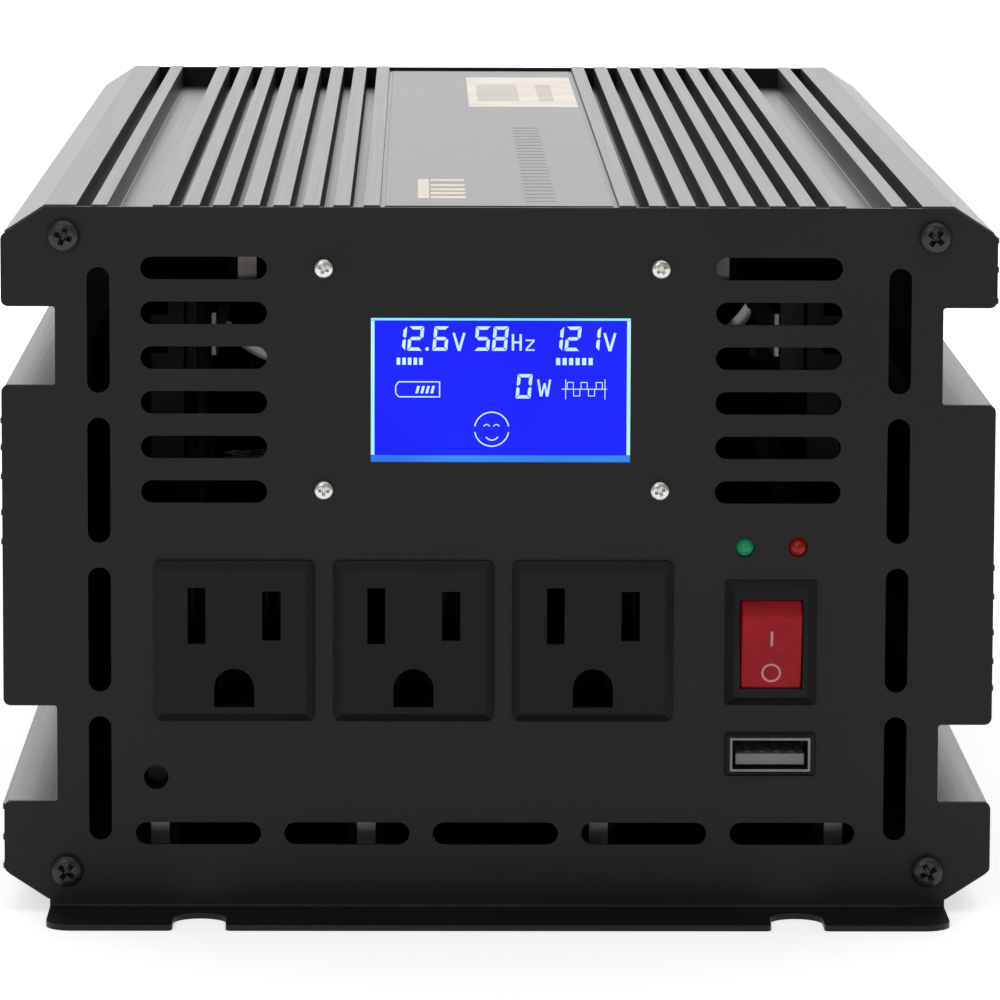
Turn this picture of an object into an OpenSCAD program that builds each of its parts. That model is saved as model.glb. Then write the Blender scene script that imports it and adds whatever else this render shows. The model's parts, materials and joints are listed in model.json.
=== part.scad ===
// Power inverter: two identical ribbed aluminium extrusions close round two circuit
// boards, and two bent sheet panels with feet close the ends.
// Millimetres. X runs along the front panel, +Y to the rear, +Z up.
// Inside the modules y = 0 is the front panel's front face and z = 0 the underside
// of the feet; place() moves that to the middle of the whole length.

/* [Casing] */
// Width of the end panels
panel_w = 168.2; // [162:0.1:205]
// Height of the end panels above the foot bend
panel_h = 118.4; // [114:0.1:145]
// Length of the extruded casing
case_len = 349; // [340:1:420]
// Thickness of the end panels and their feet
panel_t = 1; // [0.8:0.1:1.4]
// Height of the panels' lower edge above the table
panel_lift = 2.4; // [2.2:0.1:4]
// Length of each foot beyond its panel
foot_len = 15.9; // [13:0.1:22]
// Width of the open notches in the feet
foot_notch_w = 9; // [6:0.1:10]
// Wall thickness of the casing under its ribs
wall = 2; // [1.6:0.1:2.4]
// Depth of the grooves between the ribs
groove_d = 4.6; // [3:0.1:4.8]
// Width of one narrow top rib
rib_w = 2.8; // [2:0.1:3.4]
// Distance between narrow top ribs
rib_pitch = 5.07; // [4.6:0.01:5.1]
// Depth of the side channels, from the panel's edge
channel_d = 9.1; // [7:0.1:9.5]

/* [Front panel] */
// Length of one vent slot
slot_l = 21.35; // [16:0.05:22]
// Height of one vent slot
slot_h = 3.85; // [3:0.05:4.2]
// Rows of vent slots beside the display
slot_rows = 6; // [3:1:6]
// Distance between the rows
slot_pitch = 7.6; // [6:0.1:7.6]
// Diameter of the alarm's sound hole
alarm_hole_d = 4.2; // [2:0.1:5]

/* [Display] */
// Width of the display window
window_w = 43.9; // [36:0.1:46]
// Height of the display window
window_h = 24.6; // [18:0.1:26]
// Display screws' spacing along X
lcd_screw_x = 56.9; // [54:0.1:60]
// Display screws' spacing along Z
lcd_screw_z = 37.7; // [34:0.1:40]

/* [Outlets] */
// Width of an outlet's face
outlet_w = 27.3; // [24:0.1:29.5]
// Height of an outlet's face
outlet_h = 27.6; // [25:0.1:33]
// Distance between outlets
outlet_pitch = 30.45; // [29.8:0.05:31]
// Distance between the two blades of a plug
blade_pitch = 12.7; // [12:0.1:13]
// Depth of the outlet's body behind the panel
outlet_depth = 24; // [20:0.5:29]

/* [Switch and USB socket] */
// Width of the switch bezel
switch_w = 15.6; // [14:0.1:18]
// Height of the switch bezel
switch_h = 21.5; // [20:0.1:24]
// Radius of the rocker about its pivot
rocker_r = 8.5; // [7.5:0.1:8.6]
// Angle that the rocker turns through
rocker_swing = 24; // [16:1:26]
// Width of the USB socket's opening
usb_w = 12.9; // [12:0.1:13.2]
// Height of the USB socket's opening
usb_h = 5; // [4.6:0.1:5.4]

/* [Fans] */
// Side of a fan's square frame
fan_side = 60; // [50:1:62]
// Depth of a fan
fan_depth = 25; // [22:1:32]
// Blades on each rotor
fan_blades = 7; // [5:1:9]
// Gap between the blade tips and the frame
fan_tip_gap = 1.2; // [0.8:0.1:2]

/* [Battery terminals] */
// Distance between the two terminals
terminal_pitch = 60; // [50:1:80]
// Diameter of the terminal studs
stud_d = 8; // [6:0.5:8]
// Outer diameter of the knobs
knob_d = 19; // [16:0.5:24]
// Height of the knobs
knob_h = 15; // [14:0.5:20]

/* [Hidden] */
$fn = 64;
eps = 0.01;

// Heights
top_z = panel_lift + panel_h;             // top edge of the panels
mid_z = panel_lift + panel_h / 2;         // where the two casing halves meet
half_h = panel_h / 2;
half_w = panel_w / 2;
rib_proud = 0.3;                          // ribs stand this far past the panels' edges
case_y0 = panel_t;                        // the casing runs from here
case_y1 = panel_t + case_len;             // to here
rear_y = case_y1 + panel_t;               // outer face of the rear panel

// Panel outline, in x and in height above mid_z
land_x = half_w - 7.5;                    // where the top edge's chamfer starts
cham_v = half_h - 4.9;
lobe_v = half_h - 16.85;                  // underside of the top lobes
notch_x = half_w - channel_d;
mid_hi = 25.85;                           // the middle lobe's shorter reach
mid_lo = 29;                              // and its longer reach
corner_r = 1.2;
inner_r = 0.5;

// Casing profile
side_x = half_w - 0.6;                    // side walls between the fins
rib_v = half_h + rib_proud;
cham_slope = (half_h - cham_v) / (half_w - land_x);
case_land = land_x + 0.1;
fin_t = 1;
fin_reach = half_w + rib_proud;
fins_left = [22.8, 18.2, 13.25, 7.1, 2.1];
fins_right = [lobe_v + 1.1, lobe_v + 6.4, cham_v - 0.6];
floor_v = rib_v - groove_d;
ceil_v = floor_v - wall;
floor_z = mid_z - ceil_v;
ceil_z = mid_z + ceil_v;
label_half = 20.2;                        // half-width of the recess for the label
label_d = 1;                              // and its depth
ribs = 8;
rib_x0 = label_half + rib_w / 2;          // centre of the first rib
wide_x = rib_x0 + (ribs - 1) * rib_pitch + rib_w / 2;
wide_x2 = half_w - 17.9;                  // the wide groove ends here
outer_x = half_w - 15.3;                  // the outer groove starts here
outer_x2 = half_w - 12.7;
tongue_t = 0.7;
tongue_h = 1.4;
tongue_gap = 0.1;
tongue_x = side_x - 1;

// Feet
foot_half = half_w - 7.7;
foot_corner = 4.5;
bend_r = 1.5;                             // outside radius of the foot's bend
foot_notch_x = 50.5;
foot_notch_d = 10.4;

// Screws that hold the panels, in four bosses at each end
boss_x = half_w - 10.63;
boss_v = cham_v;
boss_r = 3.2;
m3_r = 1.3;                               // shank radius of the small screws
m3_gap = 0.05;                            // shank to thread
m3_pass = 1.6;                            // clearance hole
m3_head = 2.75;
m3_head_h = 1.9;
panel_screw_l = 12;

// Front panel openings
vent_left_x = -49.9;
vent_right_x = 47.25;
vent_z = top_z - 10.3;
low_slot_x = -0.4;
low_slot_pitch = 25.32;
low_slot_z = 13.7;
side_slot_x = half_w - 16.4;
side_slot_pitch = 25.57;
alarm_x = -58.2;
alarm_z = 23.4;

// Display
lcd_x = 0.25;
lcd_z = top_z - 31;
lcd_margin = 1.5;                         // glass beyond the window
lcd_glass_t = 2;
lcd_guide_t = 1.5;
lcd_screw_cx = -1.2;
lcd_screw_cz = top_z - 29.17;
lcd_board_y = 8;
board_t = 1.6;
m2_r = 0.95;
m2_pass = 1.1;
m2_head = 1.7;
m2_head_h = 1.2;
spacer_r = 2.6;

// Outlets
outlet_x0 = 16.05 - outlet_pitch;         // centre of the middle outlet
outlet_z = 46.98;
outlet_proud = 1.7;
outlet_bevel = 1.45;
outlet_bevel_h = 1.2;
outlet_edge_r = 1.2;
outlet_body_w = outlet_w - 2.5;
outlet_body_h = outlet_h - 2.6;
fit_gap = 0.2;                            // body to panel cut-out, each side
blade_z = outlet_z + 4.47;
neutral_w = 3;
neutral_h = 9.6;
hot_w = 3.1;
hot_h = 8.4;
ground_r = 3.4;
ground_z = outlet_z - 7.98;               // centre of the ground hole's round top
ground_flat = 3.2;                        // from there down to its flat
face_t = 3;                               // wall behind the outlet's face
pocket_w = 5.4;
pocket_h = 11;
leaf_t = 0.7;
blade_gap = 1.6;                          // between the two leaves of a blade contact
pin_gap = 4.7;                            // between the leaves of a ground contact
leaf_h = 6;
tail_w = 6.3;
tail_t = 0.8;
tail_out = 6;
tail_gap = 0.1;

// Switch
switch_x = 46.3;
switch_z = 46.75;
switch_proud = 2;
switch_body_w = 13;
switch_body_h = 19;
switch_depth = 21;
pivot_y = 2.2;
rocker_w = 10.2;
rocker_gap = 0.2;
rocker_face = 5.4;                        // pivot to the rocker's face
rocker_back = 3;
rocker_pin_r = 1.2;
rocker_pin_gap = 0.05;
switch_tab_w = 4.8;
switch_tab_pitch = 6;

// USB socket
usb_x = 46.35;
usb_z = 27.5;
usb_wall = 0.4;
usb_bezel_w = 15.5;
usb_bezel_h = 7.45;
usb_proud = 1;
usb_depth = 14;
usb_gap = 0.1;
usb_tongue_t = 1.9;

// Indicator lamps
led_x = [41.8, 50.8];
led_z = switch_z + 16.35;
led_r = 1.5;
led_pass = 1.65;
led_out = 1.1;
led_board_y = 6.5;

// Alarm
alarm_r = 5.6;
alarm_depth = 9;

// Boards
board_half = half_w - 20.1;
main_z = 16;                              // underside of the lower board
main_y0 = 6;
main_y1 = case_y1 - 32;
out_z = ceil_z - 9.3;                     // underside of the upper board
out_y0 = 14;
out_y1 = case_y1 - 40;
main_top = main_z + board_t;
standoff_r = 3.175;                       // across the corners of the hexagon
low_posts = [
    [-22.5, main_y0 + 8], [17.5, main_y0 + 8], [-58, main_y0 + 8], [58, main_y0 + 8],
    [-45, case_len / 2 - 14], [45, case_len / 2 - 14],
    [-58, main_y1 - 8], [58, main_y1 - 8], [-5, main_y1 - 8]
];
high_posts = [
    [-43, out_y0 + 6], [38, out_y0 + 6],
    [-44, case_len / 2 - 14], [44, case_len / 2 - 14],
    [-58, out_y1 - 6], [58, out_y1 - 6]
];

// Parts on the boards
core_w = 44;
core_d = 30;
core_h = 38;
core_leg = 12;
core_window_w = 8;
core_window_h = 26;
coil_gap = 0.4;
coil_wrap = 7;
transformer_y = [for (i = [-1, 0, 1]) case_len / 2 - 10 + 58 * i];
cap_r = 8;
cap_h = 25;
cap_x = [-48, -29, -10, 10, 29, 48];
cap_y = main_y1 - 34;
fuse_x = [-36, -12, 12, 36];
fuse_y = main_y1 - 56;
sink_t = 6;
sink_len = 190;
sink_y0 = 50;
sink_h = 34;
sink_x = board_half - 9;                  // inner face of the heatsinks
transistors_per_bar = 7;
transistor_w = 10;
transistor_h = 15;
transistor_t = 4.4;
bus_cap_r = 11;
bus_cap_h = 30;
coil_r = 14;
coil_section = 5;

// Fans
fan_x = 36;
fan_z = ceil_z - 30.5;
fan_y0 = case_y1 - fan_depth;
fan_bore_r = fan_side / 2 - 1.5;
fan_hole = fan_side / 2 - 5;              // screw holes from the fan's centre
fan_hub_r = 12;
fan_screw_r = 2;
fan_screw_pass = 2.15;
stator_t = 3;
shaft_r = 1.5;
shaft_gap = 0.04;
guard_wire = 0.8;
guard_rings = [9, 15.5, 22, 28.5];
eyelet_r = 4;

// Battery terminals
terminal_z = 28;
bushing_r = 10;
bushing_t = 4;
neck_r = 6.1;
neck_gap = 0.1;
stud_r = stud_d / 2;
stud_gap = 0.06;
neck_in = 4;                              // how far the neck reaches inside
bar_w = 20;
bar_t = 3;
washer_t = 1.5;
washer_r = 8;
knob_wall = 2;                            // closed end of the knob
knob_y0 = rear_y + bushing_t + washer_t;
stud_end = knob_y0 + knob_h - knob_wall - 0.5;
ground_screw_z = 14;

// The whole length, from the front foot's edge to the knobs' ends
front_end = -foot_len;
rear_end = max(rear_y + foot_len, knob_y0 + knob_h);
y_mid = (front_end + rear_end) / 2;

module place() translate([0, -y_mid, 0]) children();

// ---- Outlines ----

function unit(v) = v / norm(v);

// One corner of an outline at b, between a and c, rounded to radius r in n steps
function corner(a, b, c, r, n) =
    let (
        u = unit(a - b), w = unit(c - b), half = acos(u * w) / 2,
        centre = b + unit(u + w) * (r / sin(half)),
        s = b + u * (r / tan(half)) - centre, e = b + w * (r / tan(half)) - centre,
        a0 = atan2(s[1], s[0]), turn = atan2(e[1], e[0]) - a0,
        sweep = turn > 180 ? turn - 360 : (turn < -180 ? turn + 360 : turn)
    )
    [for (i = [0 : n]) centre + r * [cos(a0 + sweep * i / n), sin(a0 + sweep * i / n)]];

// A closed outline without points that repeat the one before
function once(p) = [for (i = [0 : len(p) - 1]) if (norm(p[i] - p[(i + 1) % len(p)]) > 0.001) p[i]];

// A closed outline with a radius at each corner
function rounded(p, r, n = 4) =
    let (m = len(p))
    once([for (i = [0 : m - 1]) each r[i] > 0
        ? corner(p[(i + m - 1) % m], p[i], p[(i + 1) % m], r[i], n) : [p[i]]]);

function box_outline(w, h) = [[-w / 2, -h / 2], [w / 2, -h / 2], [w / 2, h / 2], [-w / 2, h / 2]];
function round_box(w, h, r, n = 4) = rounded(box_outline(w, h), [r, r, r, r], n);
function slot_outline(w, h) = round_box(w, h, min(w, h) / 2 - 0.001, 8);

// Extrudes an x-z outline from y0 to y1
module along_y(y0, y1) translate([0, y1, 0]) rotate([90, 0, 0]) linear_extrude(y1 - y0) children();

// Extrudes a y-z outline from x0 to x1
module along_x(x0, x1) translate([x0, 0, 0]) rotate([90, 0, 90]) linear_extrude(x1 - x0) children();

// A rod along Y at x, z
module rod(x, z, y0, y1, r) translate([x, y0, z]) rotate([-90, 0, 0]) cylinder(r = r, h = y1 - y0);

module box_y(x, z, w, h, y0, y1) translate([x - w / 2, y0, z - h / 2]) cube([w, y1 - y0, h]);

// A pan-head screw along +Z, its head's seat at z = 0
module pan_screw(head_r, head_h, r, l) {
    translate([0, 0, -head_h]) rotate_extrude()
        polygon(concat([[0, 0]], [for (a = [0 : 15 : 60])
            [head_r * 0.55 + head_r * 0.45 * sin(a * 1.5), head_h * 0.62 * (1 - cos(a * 1.5))]],
            [[head_r, head_h], [r, head_h], [r, head_h + l], [0, head_h + l]]));
}

// ---- Casing ----

// A casing half's outline above mid_z, inset by w; foot is where it ends below
function half_outline(w, top, foot) =
    let (
        side = side_x - w, nx = notch_x - w, lobe = lobe_v + w,
        drop = rib_v - w * sqrt(1 + cham_slope * cham_slope),
        land = min(side, case_land + (drop - top) / cham_slope),
        cham = min(top, drop - (side - case_land) * cham_slope)
    )
    once([
        [land, top], [side, cham], [side, lobe], [nx, lobe], [nx, mid_hi - w],
        [side, mid_hi - w], [side, foot], [-side, foot], [-side, mid_lo - w],
        [-nx, mid_lo - w], [-nx, lobe], [-side, lobe], [-side, cham], [-land, top]
    ]);

module groove(x0, x1) for (s = [-1, 1])
    box_y(s * (x0 + x1) / 2, rib_v, x1 - x0, 2 * groove_d, case_y0 - 1, case_y1 + 1);

module casing_half() difference() {
    union() {
        difference() {
            along_y(case_y0, case_y1) polygon(half_outline(0, rib_v, 0));
            along_y(case_y0 - 1, case_y1 + 1) polygon(half_outline(wall, ceil_v, -1));
            box_y(0, rib_v, 2 * label_half, 2 * label_d, case_y0 - 1, case_y1 + 1);
            for (i = [0 : ribs - 2]) groove(rib_x0 + i * rib_pitch + rib_w / 2,
                rib_x0 + (i + 1) * rib_pitch - rib_w / 2);
            groove(wide_x, wide_x2);
            groove(outer_x, outer_x2);
            box_y(-tongue_x, 0, tongue_t + 2 * tongue_gap, 2 * (tongue_h + tongue_gap),
                case_y0 - 1, case_y1 + 1);
        }
        box_y(tongue_x, -tongue_h / 2 + 0.25, tongue_t, tongue_h + 0.5, case_y0, case_y1);
        for (v = fins_left) box_y(-(side_x + fin_reach) / 2 + 0.25, v, fin_reach - side_x + 0.5,
            fin_t, case_y0, case_y1);
        for (v = fins_right) box_y((side_x + fin_reach) / 2 - 0.25, v, fin_reach - side_x + 0.5,
            fin_t, case_y0, case_y1);
        for (s = [-1, 1]) intersection() {
            rod(s * boss_x, boss_v, case_y0, case_y1, boss_r);
            along_y(case_y0, case_y1) polygon(half_outline(wall / 2, floor_v, 0));
        }
    }
    for (s = [-1, 1]) rod(s * boss_x, boss_v, case_y0 - 1, case_y1 + 1, m3_r + m3_gap);
}

module upper_shell() place() color([0.36, 0.35, 0.34])
    translate([0, 0, mid_z]) casing_half();

module lower_shell() place() color([0.36, 0.35, 0.34])
    translate([0, 0, mid_z]) rotate([0, 180, 0]) casing_half();

// ---- Panels ----

function panel_right() = [
    [land_x, half_h], [half_w, cham_v], [half_w, lobe_v], [notch_x, lobe_v],
    [notch_x, mid_hi], [half_w, mid_hi], [half_w, -mid_lo], [notch_x, -mid_lo],
    [notch_x, -lobe_v], [half_w, -lobe_v], [half_w, -cham_v], [land_x, -half_h]
];
panel_radii = [for (i = [0 : 11]) (i == 3 || i == 4 || i == 7 || i == 8) ? inner_r : corner_r];
panel_outline = rounded(concat(panel_right(), -1 * panel_right()),
    concat(panel_radii, panel_radii));

// The bent foot's section, in y and z
foot_section = concat(
    [[panel_t, panel_lift + 2]],
    [for (a = [0 : -15 : -90]) [panel_t - bend_r + bend_r * cos(a), bend_r + bend_r * sin(a)]],
    [[-foot_len, 0], [-foot_len, panel_t]],
    [for (a = [-90 : 15 : 0]) [panel_t - bend_r + (bend_r - panel_t) * cos(a),
        bend_r + (bend_r - panel_t) * sin(a)]],
    [[0, panel_lift + 2]]
);

// The foot seen from above: round outer corners and two open notches
function notch_corners(x) = [
    [x - foot_notch_w / 2, -foot_len], [x - foot_notch_w / 2, -foot_len + foot_notch_d],
    [x + foot_notch_w / 2, -foot_len + foot_notch_d], [x + foot_notch_w / 2, -foot_len]
];
notch_r = foot_notch_w / 2 - 0.001;
foot_plan = rounded(
    concat([[-foot_half, 5], [-foot_half, -foot_len]], notch_corners(-foot_notch_x),
        notch_corners(foot_notch_x), [[foot_half, -foot_len], [foot_half, 5]]),
    [0, foot_corner, 1, notch_r, notch_r, 1, 1, notch_r, notch_r, 1, foot_corner, 0], 8);

module panel_blank() {
    translate([0, 0, mid_z]) along_y(0, panel_t) polygon(panel_outline);
    intersection() {
        along_x(-foot_half, foot_half) polygon(foot_section);
        linear_extrude(panel_lift + 3) polygon(foot_plan);
    }
}

module panel_screw_holes(y) for (sx = [-1, 1], sz = [-1, 1])
    rod(sx * boss_x, mid_z + sz * boss_v, y - 1, y + panel_t + 1, m3_pass);

module panel_slot(x, z, w, h) translate([x, 0, z]) along_y(-1, panel_t + 1)
    polygon(slot_outline(w, h));

module front_panel() place() color([0.13, 0.13, 0.13]) difference() {
    panel_blank();
    panel_screw_holes(0);
    for (i = [0 : slot_rows - 1], x = [vent_left_x, vent_right_x])
        panel_slot(x, vent_z - i * slot_pitch, slot_l, slot_h);
    for (i = [-2 : 2]) panel_slot(low_slot_x + i * low_slot_pitch, low_slot_z, slot_l, slot_h);
    for (i = [-1.5 : 1.5], s = [-1, 1])
        panel_slot(s * side_slot_x, mid_z + i * side_slot_pitch, slot_h, slot_l);
    box_y(lcd_x, lcd_z, window_w, window_h, -1, panel_t + 1);
    for (sx = [-1, 1], sz = [-1, 1])
        rod(lcd_screw_cx + sx * lcd_screw_x / 2, lcd_screw_cz + sz * lcd_screw_z / 2,
            -1, panel_t + 1, m2_pass);
    for (i = [-1 : 1]) box_y(outlet_x0 + i * outlet_pitch, outlet_z,
        outlet_body_w + 2 * fit_gap, outlet_body_h + 2 * fit_gap, -1, panel_t + 1);
    box_y(switch_x, switch_z, switch_body_w + 2 * fit_gap, switch_body_h + 2 * fit_gap,
        -1, panel_t + 1);
    box_y(usb_x, usb_z, usb_w + 2 * usb_wall + 2 * usb_gap, usb_h + 2 * usb_wall + 2 * usb_gap,
        -1, panel_t + 1);
    for (x = led_x) rod(x, led_z, -1, panel_t + 1, led_pass);
    rod(alarm_x, alarm_z, -1, panel_t + 1, alarm_hole_d / 2);
}

module rear_panel() place() color([0.13, 0.13, 0.13]) difference() {
    translate([0, rear_y, 0]) mirror([0, 1, 0]) panel_blank();
    panel_screw_holes(case_y1);
    for (s = [-1, 1]) {
        rod(s * fan_x, fan_z, case_y1 - 1, rear_y + 1, fan_bore_r);
        for (sx = [-1, 1], sz = [-1, 1]) rod(s * fan_x + sx * fan_hole, fan_z + sz * fan_hole,
            case_y1 - 1, rear_y + 1, fan_screw_pass);
        rod(s * terminal_pitch / 2, terminal_z, case_y1 - 1, rear_y + 1, neck_r + neck_gap);
    }
    rod(0, ground_screw_z, case_y1 - 1, rear_y + 1, 2.6);
}

module front_panel_screws() place() color([0.1, 0.1, 0.1]) for (sx = [-1, 1], sz = [-1, 1])
    translate([sx * boss_x, 0, mid_z + sz * boss_v]) rotate([-90, 0, 0])
        pan_screw(m3_head, m3_head_h, m3_r, panel_screw_l);

module rear_panel_screws() place() color([0.1, 0.1, 0.1]) for (sx = [-1, 1], sz = [-1, 1])
    translate([sx * boss_x, rear_y, mid_z + sz * boss_v]) rotate([90, 0, 0])
        pan_screw(m3_head, m3_head_h, m3_r, panel_screw_l);

label_t = 0.4;
module top_label() place() color([0.45, 0.43, 0.4])
    translate([-19.4, 7, mid_z + rib_v - label_d]) cube([38.8, case_len - 14, label_t]);

// ---- Display ----

module lcd_glass() place() color([0.05, 0.1, 0.85])
    box_y(lcd_x, lcd_z, window_w + 2 * lcd_margin, window_h + 2 * lcd_margin,
        panel_t, panel_t + lcd_glass_t);

guide_y = panel_t + lcd_glass_t;
module lcd_light_guide() place() color([0.9, 0.93, 0.95]) difference() {
    box_y(lcd_x, lcd_z, window_w + 4, window_h + 4, guide_y, lcd_board_y);
    box_y(lcd_x, lcd_z, window_w, window_h - 2, guide_y + lcd_guide_t, lcd_board_y + 1);
}

module lcd_screw_places() for (sx = [-1, 1], sz = [-1, 1])
    translate([lcd_screw_cx + sx * lcd_screw_x / 2, 0, lcd_screw_cz + sz * lcd_screw_z / 2])
        children();

module lcd_board() place() color([0.05, 0.3, 0.15]) difference() {
    union() {
        box_y(lcd_screw_cx, lcd_screw_cz, lcd_screw_x + 6, lcd_screw_z + 6,
            lcd_board_y, lcd_board_y + board_t);
        box_y(lcd_x - 8, lcd_z + 4, 12, 12, lcd_board_y + board_t - eps, lcd_board_y + board_t + 1.6);
        box_y(lcd_x + 14, lcd_z - 6, 7, 9, lcd_board_y + board_t - eps, lcd_board_y + board_t + 1.4);
    }
    lcd_screw_places() rod(0, 0, lcd_board_y - 1, lcd_board_y + board_t + 1, m2_pass);
}

module lcd_spacers() place() color([0.8, 0.8, 0.78]) lcd_screw_places() difference() {
    rod(0, 0, panel_t, lcd_board_y, spacer_r);
    rod(0, 0, panel_t - 1, lcd_board_y + 1, m2_pass);
}

// Each display screw with its nut behind the board
module lcd_screws() place() color([0.8, 0.8, 0.8]) lcd_screw_places() {
    rotate([-90, 0, 0]) pan_screw(m2_head, m2_head_h, m2_r, lcd_board_y + board_t + 2.4);
    translate([0, lcd_board_y + board_t, 0]) rotate([-90, 0, 0]) difference() {
        cylinder(r = 2.3, h = 1.6, $fn = 6);
        translate([0, 0, -1]) cylinder(r = m2_r + 0.04, h = 4);
    }
}

// ---- Outlets ----

// A block on the panel whose front edges are bevelled all round
module bevel_block(w, h, proud, bevel, bevel_h, r) intersection() {
    along_y(-proud, 0) polygon(round_box(w, h, r));
    translate([0, 0, -h]) linear_extrude(2 * h) polygon([
        [-w / 2, 1], [-w / 2, -proud + bevel_h], [-w / 2 + bevel, -proud],
        [w / 2 - bevel, -proud], [w / 2, -proud + bevel_h], [w / 2, 1]]);
    along_x(-w, w) polygon([
        [1, -h / 2], [-proud + bevel_h, -h / 2], [-proud, -h / 2 + bevel],
        [-proud, h / 2 - bevel], [-proud + bevel_h, h / 2], [1, h / 2]]);
}

function ground_outline() = concat([[-ground_r, -ground_flat], [ground_r, -ground_flat]],
    [for (a = [0 : 15 : 180]) [ground_r * cos(a), ground_r * sin(a)]]);

pocket_y0 = face_t - outlet_proud;
pocket_y1 = outlet_depth - 2;
module contact_pockets() {
    for (s = [-1, 1]) {
        box_y(s * blade_pitch / 2, blade_z - outlet_z, pocket_w, pocket_h, pocket_y0, pocket_y1);
        box_y(s * blade_pitch / 2, blade_z - outlet_z, tail_t + 2 * tail_gap,
            tail_w + 2 * tail_gap, pocket_y1 - 1, outlet_depth + 1);
    }
    box_y(0, ground_z - outlet_z, pin_gap + 2 * leaf_t + 1, 2 * ground_r, pocket_y0, pocket_y1);
    box_y(0, ground_z - outlet_z, tail_t + 2 * tail_gap, tail_w + 2 * tail_gap,
        pocket_y1 - 1, outlet_depth + 1);
}

module outlet(i) place() color([0.12, 0.12, 0.12])
    translate([outlet_x0 + i * outlet_pitch, 0, outlet_z]) difference() {
        union() {
            bevel_block(outlet_w, outlet_h, outlet_proud, outlet_bevel, outlet_bevel_h,
                outlet_edge_r);
            box_y(0, 0, outlet_body_w, outlet_body_h, -eps, outlet_depth);
        }
        box_y(-blade_pitch / 2, blade_z - outlet_z, neutral_w, neutral_h, -outlet_proud - 1,
            pocket_y0 + 1);
        box_y(blade_pitch / 2, blade_z - outlet_z, hot_w, hot_h, -outlet_proud - 1,
            pocket_y0 + 1);
        translate([0, 0, ground_z - outlet_z]) along_y(-outlet_proud - 1, pocket_y0 + 1)
            polygon(ground_outline());
        contact_pockets();
    }

module outlet_left() outlet(-1);
module outlet_centre() outlet(0);
module outlet_right() outlet(1);

// A spring contact: two leaves, a back plate and a tail through the outlet's rear wall
contact_clear = 0.3;
module contact(gap) {
    for (s = [-1, 1]) box_y(s * (gap + leaf_t) / 2, 0, leaf_t, leaf_h,
        pocket_y0 + 11, pocket_y1 - contact_clear);
    box_y(0, 0, gap + 2 * leaf_t, leaf_h, pocket_y1 - contact_clear - 1, pocket_y1 - contact_clear);
    box_y(0, 0, tail_t, tail_w, pocket_y1 - contact_clear - eps, outlet_depth + tail_out);
}

module outlet_contacts() place() color([0.8, 0.62, 0.3]) for (i = [-1 : 1])
    translate([outlet_x0 + i * outlet_pitch, 0, 0]) {
        for (s = [-1, 1]) translate([s * blade_pitch / 2, 0, blade_z]) contact(blade_gap);
        translate([0, 0, ground_z]) contact(pin_gap);
    }

// ---- Switch ----

module switch_tab(k, grow) box_y(0, k * switch_tab_pitch, 0.8 + 2 * grow, switch_tab_w + 2 * grow,
    switch_depth - 6 - grow, switch_depth + 8);

module switch_housing() place() color([0.1, 0.1, 0.1])
    translate([switch_x, 0, switch_z]) difference() {
        union() {
            bevel_block(switch_w, switch_h, switch_proud, 1.6, 1.7, 0.6);
            box_y(0, 0, switch_body_w, switch_body_h, -eps, switch_depth);
        }
        translate([-rocker_w / 2 - rocker_gap, pivot_y, 0]) rotate([0, 90, 0])
            cylinder(r = rocker_r + rocker_gap, h = rocker_w + 2 * rocker_gap);
        translate([-switch_w, pivot_y, 0]) rotate([0, 90, 0])
            cylinder(r = rocker_pin_r + rocker_pin_gap, h = 2 * switch_w);
        for (k = [-1 : 1]) switch_tab(k, 0.05);
    }

// At rest the rocker's lower end is pressed in and its upper end stands out
module switch_rocker() place() color([0.75, 0.08, 0.05])
    translate([switch_x, pivot_y, switch_z]) rotate([rocker_swing / 2, 0, 0]) {
        intersection() {
            translate([-rocker_w / 2, 0, 0]) rotate([0, 90, 0])
                cylinder(r = rocker_r, h = rocker_w);
            translate([-rocker_w, -rocker_face, -rocker_r])
                cube([2 * rocker_w, rocker_face + rocker_back, 2 * rocker_r]);
        }
        translate([-rocker_w / 2 - 1.1, 0, 0]) rotate([0, 90, 0])
            cylinder(r = rocker_pin_r, h = rocker_w + 2.2);
    }

module switch_tabs() place() color([0.8, 0.62, 0.3])
    translate([switch_x, 0, switch_z]) for (k = [-1 : 1]) switch_tab(k, 0);

// ---- USB socket ----

module usb_bezel() place() color([0.1, 0.1, 0.1]) translate([usb_x, 0, usb_z]) difference() {
    bevel_block(usb_bezel_w, usb_bezel_h, usb_proud, 0.5, 0.5, 0.6);
    box_y(0, 0, usb_w + 2 * usb_wall + 2 * usb_gap, usb_h + 2 * usb_wall + 2 * usb_gap,
        -usb_proud - 1, 1);
}

module usb_shell() place() color([0.75, 0.75, 0.75]) translate([usb_x, 0, usb_z]) difference() {
    box_y(0, 0, usb_w + 2 * usb_wall, usb_h + 2 * usb_wall, -usb_proud + 0.3, usb_depth);
    box_y(0, 0, usb_w, usb_h, -usb_proud - 1, usb_depth - usb_wall);
}

module usb_tongue() place() color([0.82, 0.82, 0.84]) translate([usb_x, 0, usb_z - 0.9]) {
    box_y(0, 0, usb_w - 1.2, usb_tongue_t, 0.4, usb_depth - usb_wall);
    for (i = [-1.5 : 1.5]) box_y(i * 2.5, usb_tongue_t / 2, 1, 0.4, 1.5, usb_depth - usb_wall);
}

module usb_board() place() color([0.05, 0.3, 0.15]) translate([usb_x, 0, usb_z]) {
    box_y(0, -usb_h / 2 - usb_wall - board_t / 2, 17, board_t, 3, 32);
    box_y(-3, -usb_h / 2 - usb_wall + 2.5, 8, 5, usb_depth + 3, usb_depth + 12);
}

// ---- Indicator lamps ----

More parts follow.
